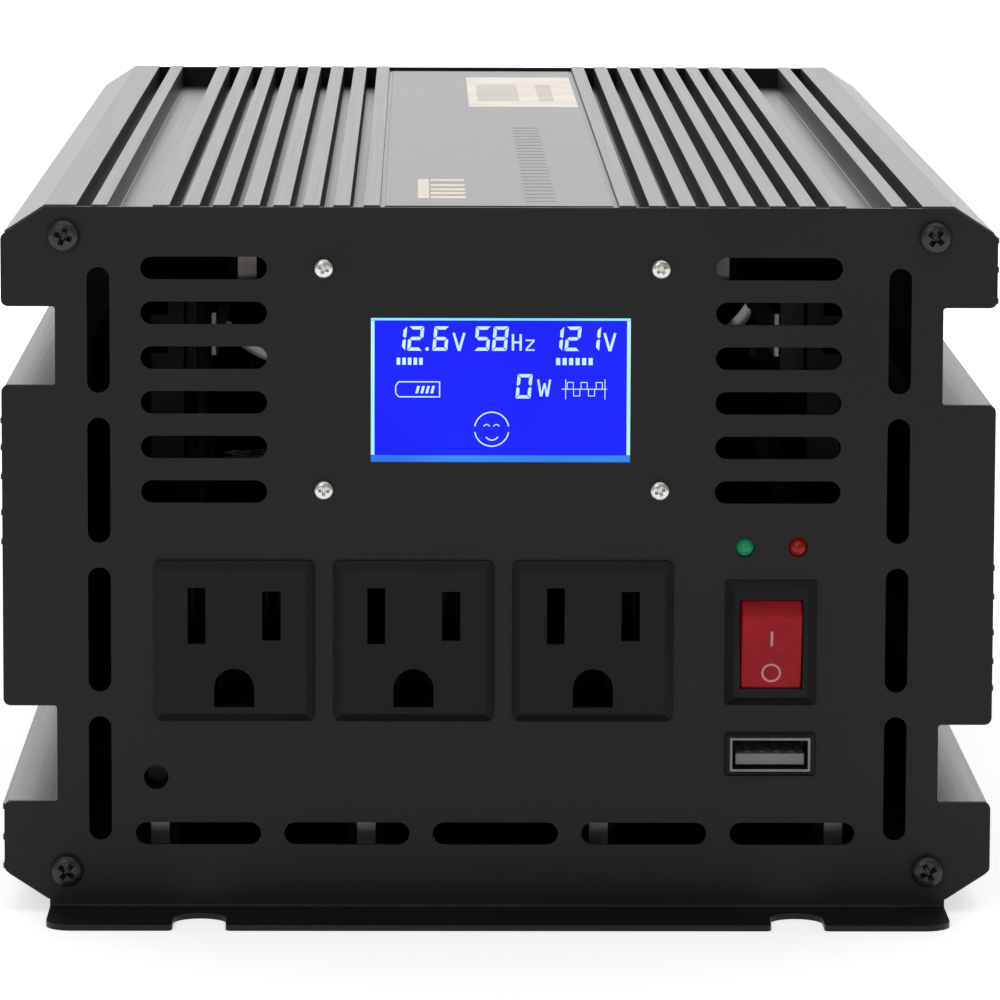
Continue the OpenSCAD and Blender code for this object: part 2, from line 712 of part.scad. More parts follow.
module led(x) translate([x, 0, led_z]) rotate([-90, 0, 0]) {
    rotate_extrude() polygon(concat([[0, -led_out]],
        [for (a = [15 : 15 : 90]) [led_r * sin(a), -led_out + led_r - led_r * cos(a)]],
        [[led_r, 3.6], [1.9, 3.6], [1.9, 4.6], [0, 4.6]]));
    for (s = [-1, 1]) translate([s * 1.27 - 0.25, -0.25, 4.6 - eps]) cube([0.5, 0.5, led_board_y - 4.6 + eps]);
}

module led_green() place() color([0.25, 0.75, 0.3]) led(led_x[0]);
module led_red() place() color([0.75, 0.15, 0.12]) led(led_x[1]);

module led_board() place() color([0.05, 0.3, 0.15])
    box_y((led_x[0] + led_x[1]) / 2, led_z, 22, 9, led_board_y, led_board_y + board_t);

module alarm_buzzer() place() color([0.08, 0.08, 0.08]) difference() {
    rod(alarm_x, alarm_z, panel_t, panel_t + alarm_depth, alarm_r);
    rod(alarm_x, alarm_z, 0, panel_t + 6, alarm_hole_d / 2);
}

// ---- Boards ----

module main_board() place() color([0.05, 0.32, 0.16]) difference() {
    translate([-board_half, main_y0, main_z]) cube([2 * board_half, main_y1 - main_y0, board_t]);
    for (p = low_posts) translate([p[0], p[1], main_z - 1]) cylinder(r = m3_pass, h = board_t + 2);
}

module output_board() place() color([0.05, 0.32, 0.16]) difference() {
    translate([-board_half, out_y0, out_z]) cube([2 * board_half, out_y1 - out_y0, board_t]);
    for (p = high_posts) translate([p[0], p[1], out_z - 1]) cylinder(r = m3_pass, h = board_t + 2);
}

module post(z0, z1) difference() {
    translate([0, 0, z0]) cylinder(r = standoff_r, h = z1 - z0, $fn = 6);
    translate([0, 0, z0 - 1]) cylinder(r = m3_r + m3_gap, h = z1 - z0 + 2);
}

module board_standoffs() place() color([0.75, 0.75, 0.72]) {
    for (p = low_posts) translate([p[0], p[1], 0]) post(floor_z, main_z);
    for (p = high_posts) translate([p[0], p[1], 0]) post(out_z + board_t, ceil_z);
}

module board_screws() place() color([0.7, 0.7, 0.7]) {
    for (p = low_posts) translate([p[0], p[1], main_top]) mirror([0, 0, 1])
        pan_screw(m3_head, m3_head_h, m3_r, 7);
    for (p = high_posts) translate([p[0], p[1], out_z]) pan_screw(m3_head, m3_head_h, m3_r, 7);
}

module transformer_cores() place() color([0.16, 0.16, 0.17]) for (y = transformer_y)
    translate([0, y - core_d / 2, main_top]) difference() {
        translate([-core_w / 2, 0, 0]) cube([core_w, core_d, core_h]);
        for (s = [-1, 1]) translate([s * (core_leg + core_window_w) / 2 - core_window_w / 2, -1,
            (core_h - core_window_h) / 2]) cube([core_window_w, core_d + 2, core_window_h]);
    }

module transformer_windings() place() color([0.75, 0.4, 0.18]) for (y = transformer_y)
    translate([0, y, main_top + (core_h - core_window_h) / 2 + coil_gap])
        linear_extrude(core_window_h - 2 * coil_gap) difference() {
            polygon(round_box(core_leg + 2 * (core_window_w - coil_gap), core_d + 2 * coil_wrap, 3));
            square([core_leg + 2 * coil_gap, core_d + 2 * coil_gap], center = true);
        }

module input_capacitors() place() color([0.1, 0.12, 0.3]) for (x = cap_x)
    translate([x, cap_y, main_top]) cylinder(r = cap_r, h = cap_h);

module battery_fuses() place() color([0.2, 0.55, 0.25]) for (x = fuse_x)
    translate([x, fuse_y, main_top]) {
        translate([-9.5, -2.6, 3]) cube([19, 5.2, 12]);
        for (s = [-1, 1]) translate([s * 6.3 - 2.4, -0.4, 0]) cube([4.8, 0.8, 3 + eps]);
    }

bar_y1 = rear_y - panel_t - neck_in;
module busbar(x) translate([x - bar_w / 2, 0, 0]) difference() {
    union() {
        translate([0, bar_y1 - bar_t, main_top]) cube([bar_w, bar_t, terminal_z + 11 - main_top]);
        translate([0, main_y1 - 14, main_top]) cube([bar_w, bar_y1 - main_y1 + 14, bar_t]);
    }
    translate([bar_w / 2, bar_y1 - bar_t - 1, terminal_z]) rotate([-90, 0, 0])
        cylinder(r = stud_r + 0.1, h = bar_t + 2);
}

module positive_busbar() place() color([0.8, 0.45, 0.25]) busbar(-terminal_pitch / 2);
module negative_busbar() place() color([0.8, 0.45, 0.25]) busbar(terminal_pitch / 2);

module sink_pair(z0, z1) for (s = [-1, 1])
    translate([s > 0 ? sink_x : -sink_x - sink_t, sink_y0, z0]) difference() {
        cube([sink_t, sink_len, z1 - z0]);
        for (k = [0.2 : 0.2 : 0.8]) translate([s > 0 ? 3 : -1, -1, k * (z1 - z0) - 1])
            cube([4, sink_len + 2, 2.4]);
    }

module input_heatsinks() place() color([0.7, 0.7, 0.72]) sink_pair(main_top, main_top + sink_h);
module output_heatsinks() place() color([0.7, 0.7, 0.72]) sink_pair(out_z - sink_h, out_z);

module transistor_places() for (s = [-1, 1], i = [0 : transistors_per_bar - 1])
    translate([s * sink_x, sink_y0 + 12 + i * (sink_len - 24) / (transistors_per_bar - 1), 0])
        mirror([s > 0 ? 1 : 0, 0, 0]) children();

// Each transistor's body stands against a heatsink, on three legs
module transistor(z, up) translate([0, -transistor_w / 2, z]) {
    translate([0, 0, up ? 4 : -4 - transistor_h]) cube([transistor_t, transistor_w, transistor_h]);
    for (k = [2.46, 5, 7.54]) translate([1.6, k - 0.4, up ? 0 : -4 - eps]) cube([0.6, 0.8, 4 + eps]);
}

module transistors() place() color([0.1, 0.1, 0.1]) transistor_places() {
    transistor(main_top, true);
    transistor(out_z, false);
}

clamp_t = 1.2;
module transistor_clamps() place() color([0.8, 0.8, 0.8]) for (s = [-1, 1], z = [main_top + 8, out_z - 16])
    translate([s * (sink_x - transistor_t - clamp_t / 2), sink_y0 + sink_len / 2, z + 4])
        cube([clamp_t, sink_len - 12, 8], center = true);

module bus_capacitors() place() color([0.1, 0.12, 0.3]) for (x = [-14, 14], y = [60, 90, 250, 280])
    translate([x, y, out_z - bus_cap_h]) cylinder(r = bus_cap_r, h = bus_cap_h);

// Two ring cores lying under the upper board
module filter_coil() place() color([0.75, 0.4, 0.18]) for (y = [140, 190])
    translate([0, y, out_z - coil_section]) rotate_extrude() translate([coil_r, 0])
        circle(r = coil_section);

// ---- Fans ----

hub_y0 = fan_y0 + 3;
hub_y1 = case_y1 - stator_t - 1.6;
stator_y0 = case_y1 - stator_t - 0.5;
module fan_frame(x) place() color([0.1, 0.1, 0.1]) translate([x, 0, fan_z]) {
    difference() {
        along_y(fan_y0, case_y1) polygon(round_box(fan_side, fan_side, 4));
        rod(0, 0, fan_y0 - 1, case_y1 + 1, fan_bore_r);
        for (sx = [-1, 1], sz = [-1, 1]) rod(sx * fan_hole, sz * fan_hole, fan_y0 - 1, case_y1 + 1,
            fan_screw_pass);
    }
    difference() {
        union() {
            rod(0, 0, stator_y0, stator_y0 + stator_t, fan_hub_r);
            for (a = [30, 150, 270]) rotate([0, a, 0])
                translate([fan_hub_r - 1, stator_y0, -1.5])
                    cube([fan_bore_r - fan_hub_r + 1.6, stator_t, 3]);
        }
        rod(0, 0, stator_y0 - 1, stator_y0 + stator_t + 1, shaft_r + shaft_gap);
    }
}

module fan_left_frame() fan_frame(-fan_x);
module fan_right_frame() fan_frame(fan_x);

blade_r = fan_bore_r - fan_tip_gap;
blade_chord = 26;
blade_t = 1.5;
blade_pitch_angle = 38;
module fan_rotor(x) place() color([0.13, 0.13, 0.13]) translate([x, 0, fan_z]) {
    rod(0, 0, hub_y0, hub_y1, fan_hub_r + 0.8);
    rod(0, 0, hub_y1 - 1, stator_y0 + stator_t - 0.5, shaft_r);
    intersection() {
        rod(0, 0, fan_y0, case_y1, blade_r);
        for (i = [0 : fan_blades - 1]) rotate([0, i * 360 / fan_blades, 0])
            translate([fan_hub_r - 1, (hub_y0 + hub_y1) / 2, 0]) rotate([blade_pitch_angle, 0, 0])
                translate([0, -blade_t / 2, -blade_chord / 2])
                    cube([fan_side / 2, blade_t, blade_chord]);
    }
}

module fan_left_rotor() fan_rotor(-fan_x);
module fan_right_rotor() fan_rotor(fan_x);

guard_y = rear_y + 2.2;
module fan_guards() place() color([0.75, 0.75, 0.75]) for (s = [-1, 1])
    translate([s * fan_x, 0, fan_z]) {
        for (r = guard_rings) translate([0, guard_y, 0]) rotate([90, 0, 0]) rotate_extrude()
            translate([r, 0]) circle(r = guard_wire, $fn = 24);
        for (a = [45, 135]) rotate([0, a, 0]) translate([-fan_hole * sqrt(2) + eyelet_r - 0.5,
            guard_y - 1, 0]) rotate([0, 90, 0])
            cylinder(r = guard_wire, h = 2 * (fan_hole * sqrt(2) - eyelet_r + 0.5), $fn = 24);
        for (sx = [-1, 1], sz = [-1, 1]) difference() {
            rod(sx * fan_hole, sz * fan_hole, rear_y, rear_y + 2, eyelet_r);
            rod(sx * fan_hole, sz * fan_hole, rear_y - 1, rear_y + 3, fan_screw_pass);
        }
    }

module fan_screws() place() color([0.7, 0.7, 0.7]) for (s = [-1, 1], sx = [-1, 1], sz = [-1, 1])
    translate([s * fan_x + sx * fan_hole, rear_y + 2, fan_z + sz * fan_hole]) rotate([90, 0, 0])
        pan_screw(3.6, 2.4, fan_screw_r, 14);

// ---- Battery terminals ----

module bushing(x) difference() {
    union() {
        rod(x, terminal_z, rear_y, rear_y + bushing_t, bushing_r);
        rod(x, terminal_z, bar_y1, rear_y + eps, neck_r);
    }
    rod(x, terminal_z, bar_y1 - 1, rear_y + bushing_t + 1, stud_r + 0.1);
}

module red_bushing() place() color([0.75, 0.08, 0.06]) bushing(-terminal_pitch / 2);
module black_bushing() place() color([0.07, 0.07, 0.07]) bushing(terminal_pitch / 2);

module terminal_studs() place() color([0.82, 0.68, 0.38]) for (s = [-1, 1])
    translate([s * terminal_pitch / 2, 0, terminal_z]) {
        rod(0, 0, bar_y1 - bar_t, stud_end, stud_r);
        translate([0, bar_y1 - bar_t - 5, 0]) rotate([-90, 0, 0]) cylinder(r = 7, h = 5, $fn = 6);
    }

module washer(x) difference() {
    rod(x, terminal_z, rear_y + bushing_t, knob_y0, washer_r);
    rod(x, terminal_z, rear_y, knob_y0 + 1, stud_r + stud_gap);
}

module red_washer() place() color([0.82, 0.68, 0.38]) washer(-terminal_pitch / 2);
module black_washer() place() color([0.82, 0.68, 0.38]) washer(terminal_pitch / 2);

// A knob with grip flutes round it and a blind threaded bore
knob_flutes = 16;
module knob(x) difference() {
    rod(x, terminal_z, knob_y0, knob_y0 + knob_h, knob_d / 2);
    rod(x, terminal_z, knob_y0 - 1, knob_y0 + knob_h - knob_wall, stud_r + stud_gap);
    for (i = [0 : knob_flutes - 1]) translate([x, 0, terminal_z])
        rotate([0, i * 360 / knob_flutes, 0]) rod(knob_d / 2 + 0.5, 0, knob_y0 + 2.5,
            knob_y0 + knob_h + 1, 1.3);
}

module red_knob() place() color([0.75, 0.08, 0.06]) knob(-terminal_pitch / 2);
module black_knob() place() color([0.07, 0.07, 0.07]) knob(terminal_pitch / 2);

module ground_screw() place() color([0.7, 0.7, 0.7]) {
    translate([0, rear_y, ground_screw_z]) rotate([90, 0, 0]) pan_screw(4.6, 3, 2.5, 9);
    translate([0, case_y1 - 4, ground_screw_z]) rotate([-90, 0, 0]) difference() {
        cylinder(r = 4.6, h = 4, $fn = 6);
        translate([0, 0, -1]) cylinder(r = 2.54, h = 6);
    }
}

// ---- Wires ----

function bezier(p, t) = (1 - t) ^ 3 * p[0] + 3 * (1 - t) ^ 2 * t * p[1]
    + 3 * (1 - t) * t ^ 2 * p[2] + t ^ 3 * p[3];
function slope(p, t) = (1 - t) ^ 2 * (p[1] - p[0]) + 2 * (1 - t) * t * (p[2] - p[1])
    + t ^ 2 * (p[3] - p[2]);

// A round wire along a smooth curve from p[0] to p[3]; the curve never runs along X
module wire(p, r, rings = 12, sides = 8) {
    points = [for (i = [0 : rings]) let (
            t = i / rings, d = unit(slope(p, t)), u = unit(cross(d, [1, 0, 0])), w = cross(d, u))
        for (k = [0 : sides - 1]) bezier(p, t)
            + r * (u * cos(k * 360 / sides) + w * sin(k * 360 / sides))];
    skin = [for (i = [0 : rings - 1], k = [0 : sides - 1]) let (n = (k + 1) % sides)
        [i * sides + k, i * sides + n, (i + 1) * sides + n, (i + 1) * sides + k]];
    polyhedron(points, concat([[for (k = [sides - 1 : -1 : 0]) k]], skin,
        [[for (k = [0 : sides - 1]) rings * sides + k]]), convexity = 6);
}

wire_r = 1.2;
tail_y = outlet_depth + tail_out;
module outlet_wires() place() color([0.15, 0.15, 0.15]) for (i = [-1 : 1]) {
    x = outlet_x0 + i * outlet_pitch;
    for (s = [-1, 1]) wire([[x + s * blade_pitch / 2, tail_y, blade_z],
        [x + s * blade_pitch / 2, tail_y + 14, blade_z],
        [x + s * blade_pitch / 2, tail_y + 8, out_z - 22],
        [x + s * blade_pitch / 2, tail_y + 8, out_z]], wire_r);
    wire([[x, tail_y, ground_z], [x, tail_y + 9, ground_z], [x, tail_y + 6, main_top + 10],
        [x, tail_y + 6, main_top]], wire_r);
}

module fan_wires() place() color([0.6, 0.1, 0.08]) for (s = [-1, 1], k = [0, 3])
    wire([[s * (fan_x + 14 + k), fan_y0, fan_z - fan_side / 2 + 3.5],
        [s * (fan_x + 14 + k), fan_y0 - 8, fan_z - fan_side / 2 + 3.5],
        [s * (fan_x + 14 + k), main_y1 - 5, main_top + 20],
        [s * (fan_x + 14 + k), main_y1 - 5, main_top]], 1);

// A flat cable from the display board to the upper board
ribbon_path = [[lcd_board_y + board_t, lcd_z - 14], [lcd_board_y + board_t + 14, lcd_z - 14],
    [out_y0 + 12, out_z - 10], [out_y0 + 12, out_z]];
ribbon_t = 0.9;
module display_cable() place() color([0.6, 0.6, 0.6]) along_x(-6, 6) polygon(concat(
    [for (i = [0 : 12]) let (d = unit(slope(ribbon_path, i / 12)))
        bezier(ribbon_path, i / 12) + ribbon_t / 2 * [-d[1], d[0]]],
    [for (i = [12 : -1 : 0]) let (d = unit(slope(ribbon_path, i / 12)))
        bezier(ribbon_path, i / 12) - ribbon_t / 2 * [-d[1], d[0]]]));

upper_shell();
lower_shell();
front_panel();
rear_panel();
front_panel_screws();
rear_panel_screws();
top_label();
lcd_glass();
lcd_light_guide();
lcd_board();
lcd_spacers();
lcd_screws();
outlet_left();
outlet_centre();
outlet_right();
outlet_contacts();
switch_housing();
switch_rocker();
switch_tabs();
usb_bezel();
usb_shell();
usb_tongue();
usb_board();
led_green();
led_red();
led_board();
alarm_buzzer();
main_board();
output_board();
board_standoffs();
board_screws();
transformer_cores();
transformer_windings();
input_capacitors();
battery_fuses();
positive_busbar();
negative_busbar();
input_heatsinks();
output_heatsinks();
transistors();
transistor_clamps();
bus_capacitors();
filter_coil();
fan_left_frame();
fan_right_frame();
fan_left_rotor();
fan_right_rotor();
fan_guards();
fan_screws();
red_bushing();
black_bushing();
terminal_studs();
red_washer();
black_washer();
red_knob();
black_knob();
ground_screw();
outlet_wires();
fan_wires();
display_cable();
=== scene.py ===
# %% [markdown]
# # A power inverter
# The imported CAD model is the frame: it holds every piece at its true size and place. This
# notebook gives the pieces their looks. It rounds the edges that a press or a mould leaves
# round, builds what repeats with Geometry Nodes, and gives each surface a procedural finish.

# %% Load the frame
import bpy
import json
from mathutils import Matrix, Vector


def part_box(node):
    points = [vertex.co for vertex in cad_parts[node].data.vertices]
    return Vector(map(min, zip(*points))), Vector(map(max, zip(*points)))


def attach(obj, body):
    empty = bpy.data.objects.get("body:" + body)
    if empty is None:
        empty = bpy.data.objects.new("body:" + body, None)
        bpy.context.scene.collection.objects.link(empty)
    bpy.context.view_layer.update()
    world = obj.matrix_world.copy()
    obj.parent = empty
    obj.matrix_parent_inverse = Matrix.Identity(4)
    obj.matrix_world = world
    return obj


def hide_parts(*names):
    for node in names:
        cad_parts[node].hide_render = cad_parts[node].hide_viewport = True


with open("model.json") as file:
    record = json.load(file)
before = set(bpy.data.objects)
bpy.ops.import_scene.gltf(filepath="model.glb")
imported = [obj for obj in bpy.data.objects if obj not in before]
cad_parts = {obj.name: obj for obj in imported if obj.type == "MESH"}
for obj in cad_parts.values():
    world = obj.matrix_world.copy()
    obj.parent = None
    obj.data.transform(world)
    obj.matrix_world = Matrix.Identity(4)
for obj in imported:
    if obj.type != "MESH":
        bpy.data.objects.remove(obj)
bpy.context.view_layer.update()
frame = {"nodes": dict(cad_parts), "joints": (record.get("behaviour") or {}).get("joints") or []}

import json
import math

import bmesh
import bpy
from mathutils import Euler, Matrix, Vector

MM = 0.001

# %% [markdown]
# ## Places
# Every place is read from the frame, so a longer casing or a moved outlet carries its
# looks along. The front panel's sheet ends where the casing begins, one sheet behind its face.

# %% Places read from the frame
CASE_LO, CASE_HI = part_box("upper_shell")
GLASS_LO, GLASS_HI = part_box("lcd_glass")
PANEL_T = 1.0 * MM
FRONT_Y = CASE_LO.y - PANEL_T
print(f"casing {(CASE_HI.y - CASE_LO.y) / MM:.0f} mm long, front face at y {FRONT_Y / MM:.1f} mm")

# %% [markdown]
# ## Camera
# The camera stands about 1.1 m in front of the panel, a little above the top, and looks
# slightly down. A long lens keeps the box's sides nearly parallel, as a product shot does.

# %% Camera
EYE = Vector((-13.65 * MM, FRONT_Y - 1067.85 * MM, 216.26 * MM))
LOOK_DOWN = 0.13506
LOOK_ASIDE = 0.01296
ROLL = 0.00353
LENS_MM = 229.02


def camera_axes(down, aside, roll):
    """Rotation whose columns are the picture's right, its up, and the way back."""
    ahead = Vector((math.sin(aside) * math.cos(down), math.cos(aside) * math.cos(down),
                    -math.sin(down)))
    right = ahead.cross(Vector((0, 0, 1))).normalized()
    up = right.cross(ahead)
    turned_right = right * math.cos(roll) + up * math.sin(roll)
    turned_up = up * math.cos(roll) - right * math.sin(roll)
    return Matrix((turned_right, turned_up, -ahead)).transposed()


camera_data = bpy.data.cameras.new("Camera")
camera_data.lens = LENS_MM
camera_data.sensor_width = 36.0
camera_data.clip_end = 20.0
camera = bpy.data.objects.new("Camera", camera_data)
bpy.context.scene.collection.objects.link(camera)
camera.matrix_world = Matrix.Translation(EYE) @ camera_axes(LOOK_DOWN, LOOK_ASIDE, ROLL).to_4x4()
bpy.context.scene.camera = camera
print("camera at", [round(c, 3) for c in EYE], "lens", LENS_MM)

# %% [markdown]
# ## Building shader graphs
# A finish is a small graph: a pattern in object coordinates moves the colour, the
# roughness and a bump. These helpers keep each finish down to a few lines. Object
# coordinates are metres here, so a noise scale of 1000 has cells about a millimetre across.

# %% Shader helpers


def new_finish(name, colour, roughness, **sockets):
    """A material with one Principled shader; returns the material, its tree and the shader."""
    material = bpy.data.materials.new(name)
    material.use_nodes = True
    tree = material.node_tree
    tree.nodes.clear()
    output = tree.nodes.new("ShaderNodeOutputMaterial")
    shader = tree.nodes.new("ShaderNodeBsdfPrincipled")
    tree.links.new(shader.outputs["BSDF"], output.inputs["Surface"])
    shader.inputs["Base Color"].default_value = (*colour, 1)
    shader.inputs["Roughness"].default_value = roughness
    for socket, value in sockets.items():
        shader.inputs[socket.replace("_", " ")].default_value = value
    material.diffuse_color = (*colour, 1)
    return material, tree, shader


def stretched(tree, scale):
    """Object coordinates, scaled along each axis."""
    place = tree.nodes.new("ShaderNodeTexCoord")
    mapping = tree.nodes.new("ShaderNodeMapping")
    mapping.inputs["Scale"].default_value = scale
    tree.links.new(place.outputs["Object"], mapping.inputs["Vector"])
    return mapping.outputs["Vector"]


def noise(tree, scale, detail=3.0, stretch=(1, 1, 1), roughness=0.5):
    """A noise pattern between 0 and 1."""
    node = tree.nodes.new("ShaderNodeTexNoise")
    node.inputs["Scale"].default_value = scale
    node.inputs["Detail"].default_value = detail
    node.inputs["Roughness"].default_value = roughness
    tree.links.new(stretched(tree, stretch), node.inputs["Vector"])
    return node.outputs["Fac"]


def spread(tree, pattern, low, high, start=0.3, end=0.7):
    """Maps a pattern's middle range onto low..high."""
    node = tree.nodes.new("ShaderNodeMapRange")
    node.inputs["From Min"].default_value = start
    node.inputs["From Max"].default_value = end
    node.inputs["To Min"].default_value = low
    node.inputs["To Max"].default_value = high
    tree.links.new(pattern, node.inputs["Value"])
    return node.outputs["Result"]


def tint(tree, pattern, first, second, start=0.3, end=0.7):
    """Two colours mixed by a pattern."""
    node = tree.nodes.new("ShaderNodeValToRGB")
    node.color_ramp.elements[0].position = start
    node.color_ramp.elements[0].color = (*first, 1)
    node.color_ramp.elements[1].position = end
    node.color_ramp.elements[1].color = (*second, 1)
    tree.links.new(pattern, node.inputs["Fac"])
    return node.outputs["Color"]


def bump(tree, shader, pattern, depth, strength=1.0, under=None):
    """Adds a bump of this depth in metres to the shader."""
    node = tree.nodes.new("ShaderNodeBump")
    node.inputs["Distance"].default_value = depth
    node.inputs["Strength"].default_value = strength
    tree.links.new(pattern, node.inputs["Height"])
    if under is not None:
        tree.links.new(under, node.inputs["Normal"])
    tree.links.new(node.outputs["Normal"], shader.inputs["Normal"])
    return node.outputs["Normal"]


def lighter(colour, factor):
    """The colour times a factor, kept within 0..1."""
    return tuple(min(1.0, channel * factor) for channel in colour)


# %% [markdown]
# ## Finishes
# Four surfaces make most of the object: powder-coated sheet, black anodised extrusion,
# fine-textured moulded plastic, and plated metal. Each has its own grain. An extrusion's
# grain runs along its length because the die drags it that way.

# %% Sheet, extrusion and plastic finishes


def powder_coat():
    """Matte black powder coat: a very fine orange peel and faint cloudiness."""
    base = (0.0062, 0.0059, 0.0062)
    material, tree, shader = new_finish("powder_coat", base, 0.46)
    shader.inputs["Specular IOR Level"].default_value = 0.28
    cloud = noise(tree, 28, 2)
    tree.links.new(tint(tree, cloud, lighter(base, 0.88), lighter(base, 1.14)),
                   shader.inputs["Base Color"])
    peel = noise(tree, 2600, 2)
    tree.links.new(spread(tree, peel, 0.42, 0.52), shader.inputs["Roughness"])
    bump(tree, shader, peel, 0.018 * MM, 0.35)
    return material


def anodised():
    """Black anodised aluminium: drawn grain along Y and slow changes of shade."""
    base = (0.046, 0.0435, 0.042)
    material, tree, shader = new_finish("anodised_black", base, 0.33)
    shader.inputs["IOR"].default_value = 1.62
    grain = noise(tree, 1.0, 4, (2600, 9, 2600), 0.6)
    shade = noise(tree, 9, 2, (1.0, 0.35, 1.0))
    tree.links.new(tint(tree, shade, lighter(base, 0.85), lighter(base, 1.2)),
                   shader.inputs["Base Color"])
    tree.links.new(spread(tree, grain, 0.31, 0.36), shader.inputs["Roughness"])
    bump(tree, shader, grain, 0.006 * MM, 0.15)
    return material


def moulded(name, base, roughness=0.36, depth=0.02, shine=0.5):
    """Moulded plastic with the fine sparked texture of its tool."""
    material, tree, shader = new_finish(name, base, roughness)
    shader.inputs["Specular IOR Level"].default_value = shine
    sparks = noise(tree, 3400, 2, (1, 1, 1), 0.6)
    patches = noise(tree, 90, 2)
    tree.links.new(tint(tree, patches, lighter(base, 0.9), lighter(base, 1.12)),
                   shader.inputs["Base Color"])
    tree.links.new(spread(tree, sparks, roughness - 0.05, roughness + 0.06),
                   shader.inputs["Roughness"])
    bump(tree, shader, sparks, depth * MM, 0.3)
    return material


def plated(name, base, roughness=0.2, metallic=1.0, grain=(1, 1, 1)):
    """Bright or zinc-plated metal with fine handling marks."""
    material, tree, shader = new_finish(name, base, roughness, Metallic=metallic)
    marks = noise(tree, 700, 4, grain, 0.65)
    tree.links.new(tint(tree, noise(tree, 160, 2), lighter(base, 0.88), lighter(base, 1.06)),
                   shader.inputs["Base Color"])
    tree.links.new(spread(tree, marks, roughness - 0.06, roughness + 0.14),
                   shader.inputs["Roughness"])
    bump(tree, shader, marks, 0.006 * MM, 0.25)
    return material


POWDER = powder_coat()
ANODISED = anodised()
BLACK_MOULDED = moulded("black_moulded", (0.0052, 0.0048, 0.0050), 0.48, 0.02, 0.2)
BLACK_SCREW = plated("black_zinc", (0.045, 0.044, 0.044), 0.3, 0.7)
NICKEL = plated("nickel", (0.78, 0.76, 0.72), 0.22)
STEEL = plated("zinc_steel", (0.56, 0.56, 0.57), 0.3)
DARK_STEEL = plated("dark_steel", (0.20, 0.20, 0.20), 0.35)
BRASS = plated("brass", (0.78, 0.56, 0.24), 0.22)
DARK_BRONZE = plated("dark_bronze", (0.03, 0.022, 0.014), 0.5)
COPPER = plated("copper", (0.78, 0.38, 0.2), 0.28)
SINK_BLACK = plated("black_heatsink", (0.022, 0.022, 0.023), 0.5, 0.3, (1, 0.05, 1))
SPACER = plated("spacer_zinc", (0.34, 0.32, 0.30), 0.36)
RED_MOULDED = moulded("red_moulded", (0.5, 0.022, 0.016), 0.28, 0.008)
BLACK_GLOSS = moulded("black_gloss", (0.014, 0.014, 0.014), 0.25, 0.008)
GREY_MOULDED = moulded("grey_moulded", (0.19, 0.19, 0.2), 0.45, 0.02, 0.3)
print("finishes:", len(bpy.data.materials))

# %% [markdown]
# Lenses are tinted plastic that light gets into. A little transmission with a coloured body
# gives depth without needing a lamp inside. The rocker is denser, so it has no transmission.
# The rocker and the unlit lamp lenses also give off a weak even light: a painted glow that
# stands in for light scattered inside the plastic.

# %% Tinted plastics


def tinted(name, base, painted_glow, transmission=0.25, strength=0.0, roughness=0.12, coat=0.3):
    """Tinted clear plastic, coloured in its body, with a weak even painted glow standing in for light
    scattered inside it.
    """
    material, tree, shader = new_finish(name, base, roughness)
    shader.inputs["Transmission Weight"].default_value = transmission
    shader.inputs["IOR"].default_value = 1.5
    shader.inputs["Coat Weight"].default_value = coat
    shader.inputs["Specular IOR Level"].default_value = 0.2 + coat
    shader.inputs["Coat Roughness"].default_value = 0.08
    flow = noise(tree, 420, 2)
    tree.links.new(tint(tree, flow, lighter(base, 0.82), lighter(base, 1.15)),
                   shader.inputs["Base Color"])
    # painted glow: an even emission in the body's tint, standing in for light scattered inside the
    # plastic
    shader.inputs["Emission Color"].default_value = (*painted_glow, 1)
    shader.inputs["Emission Strength"].default_value = strength
    bump(tree, shader, flow, 0.01 * MM, 0.15)
    return material


# the rocker and both lamp lenses get a weak painted glow; the clear guide gets none
ROCKER_RED = tinted("rocker_red", (0.27, 0.002, 0.008), (0.9, 0.01, 0.01), 0.0, 0.02, 0.5, 0.0)
LAMP_GREEN = tinted("lamp_green", (0.006, 0.24, 0.10), (0.004, 0.4, 0.13), 0.2, 0.06, 0.2, 0.05)
LAMP_RED = tinted("lamp_red", (0.26, 0.004, 0.006), (0.6, 0.0, 0.0), 0.2, 0.05, 0.2, 0.05)
CLEAR = tinted("clear_acrylic", (0.86, 0.9, 0.92), (1, 1, 1), 0.8)
print("tinted plastics made")

# %% [markdown]
# The inside has its own surfaces: lacquered boards, wound copper, ferrite, sleeved
# capacitors and rubbery wire. They show through the slots and when a panel comes off.

# %% Finishes for the inside


def board_lacquer():
    """Green solder mask over fine tracks that run along and across the board."""
    mask, track = (0.006, 0.055, 0.026), (0.014, 0.115, 0.05)
    material, tree, shader = new_finish("board_lacquer", mask, 0.3)
    along = noise(tree, 1.0, 1, (620, 60, 60))
    across = noise(tree, 1.0, 1, (60, 520, 60))
    both = tree.nodes.new("ShaderNodeMath")
    both.operation = "MAXIMUM"
    tree.links.new(along, both.inputs[0])
    tree.links.new(across, both.inputs[1])
    tree.links.new(tint(tree, both.outputs["Value"], mask, track, 0.6, 0.64),
                   shader.inputs["Base Color"])
    bump(tree, shader, both.outputs["Value"], 0.03 * MM, 0.4)
    return material


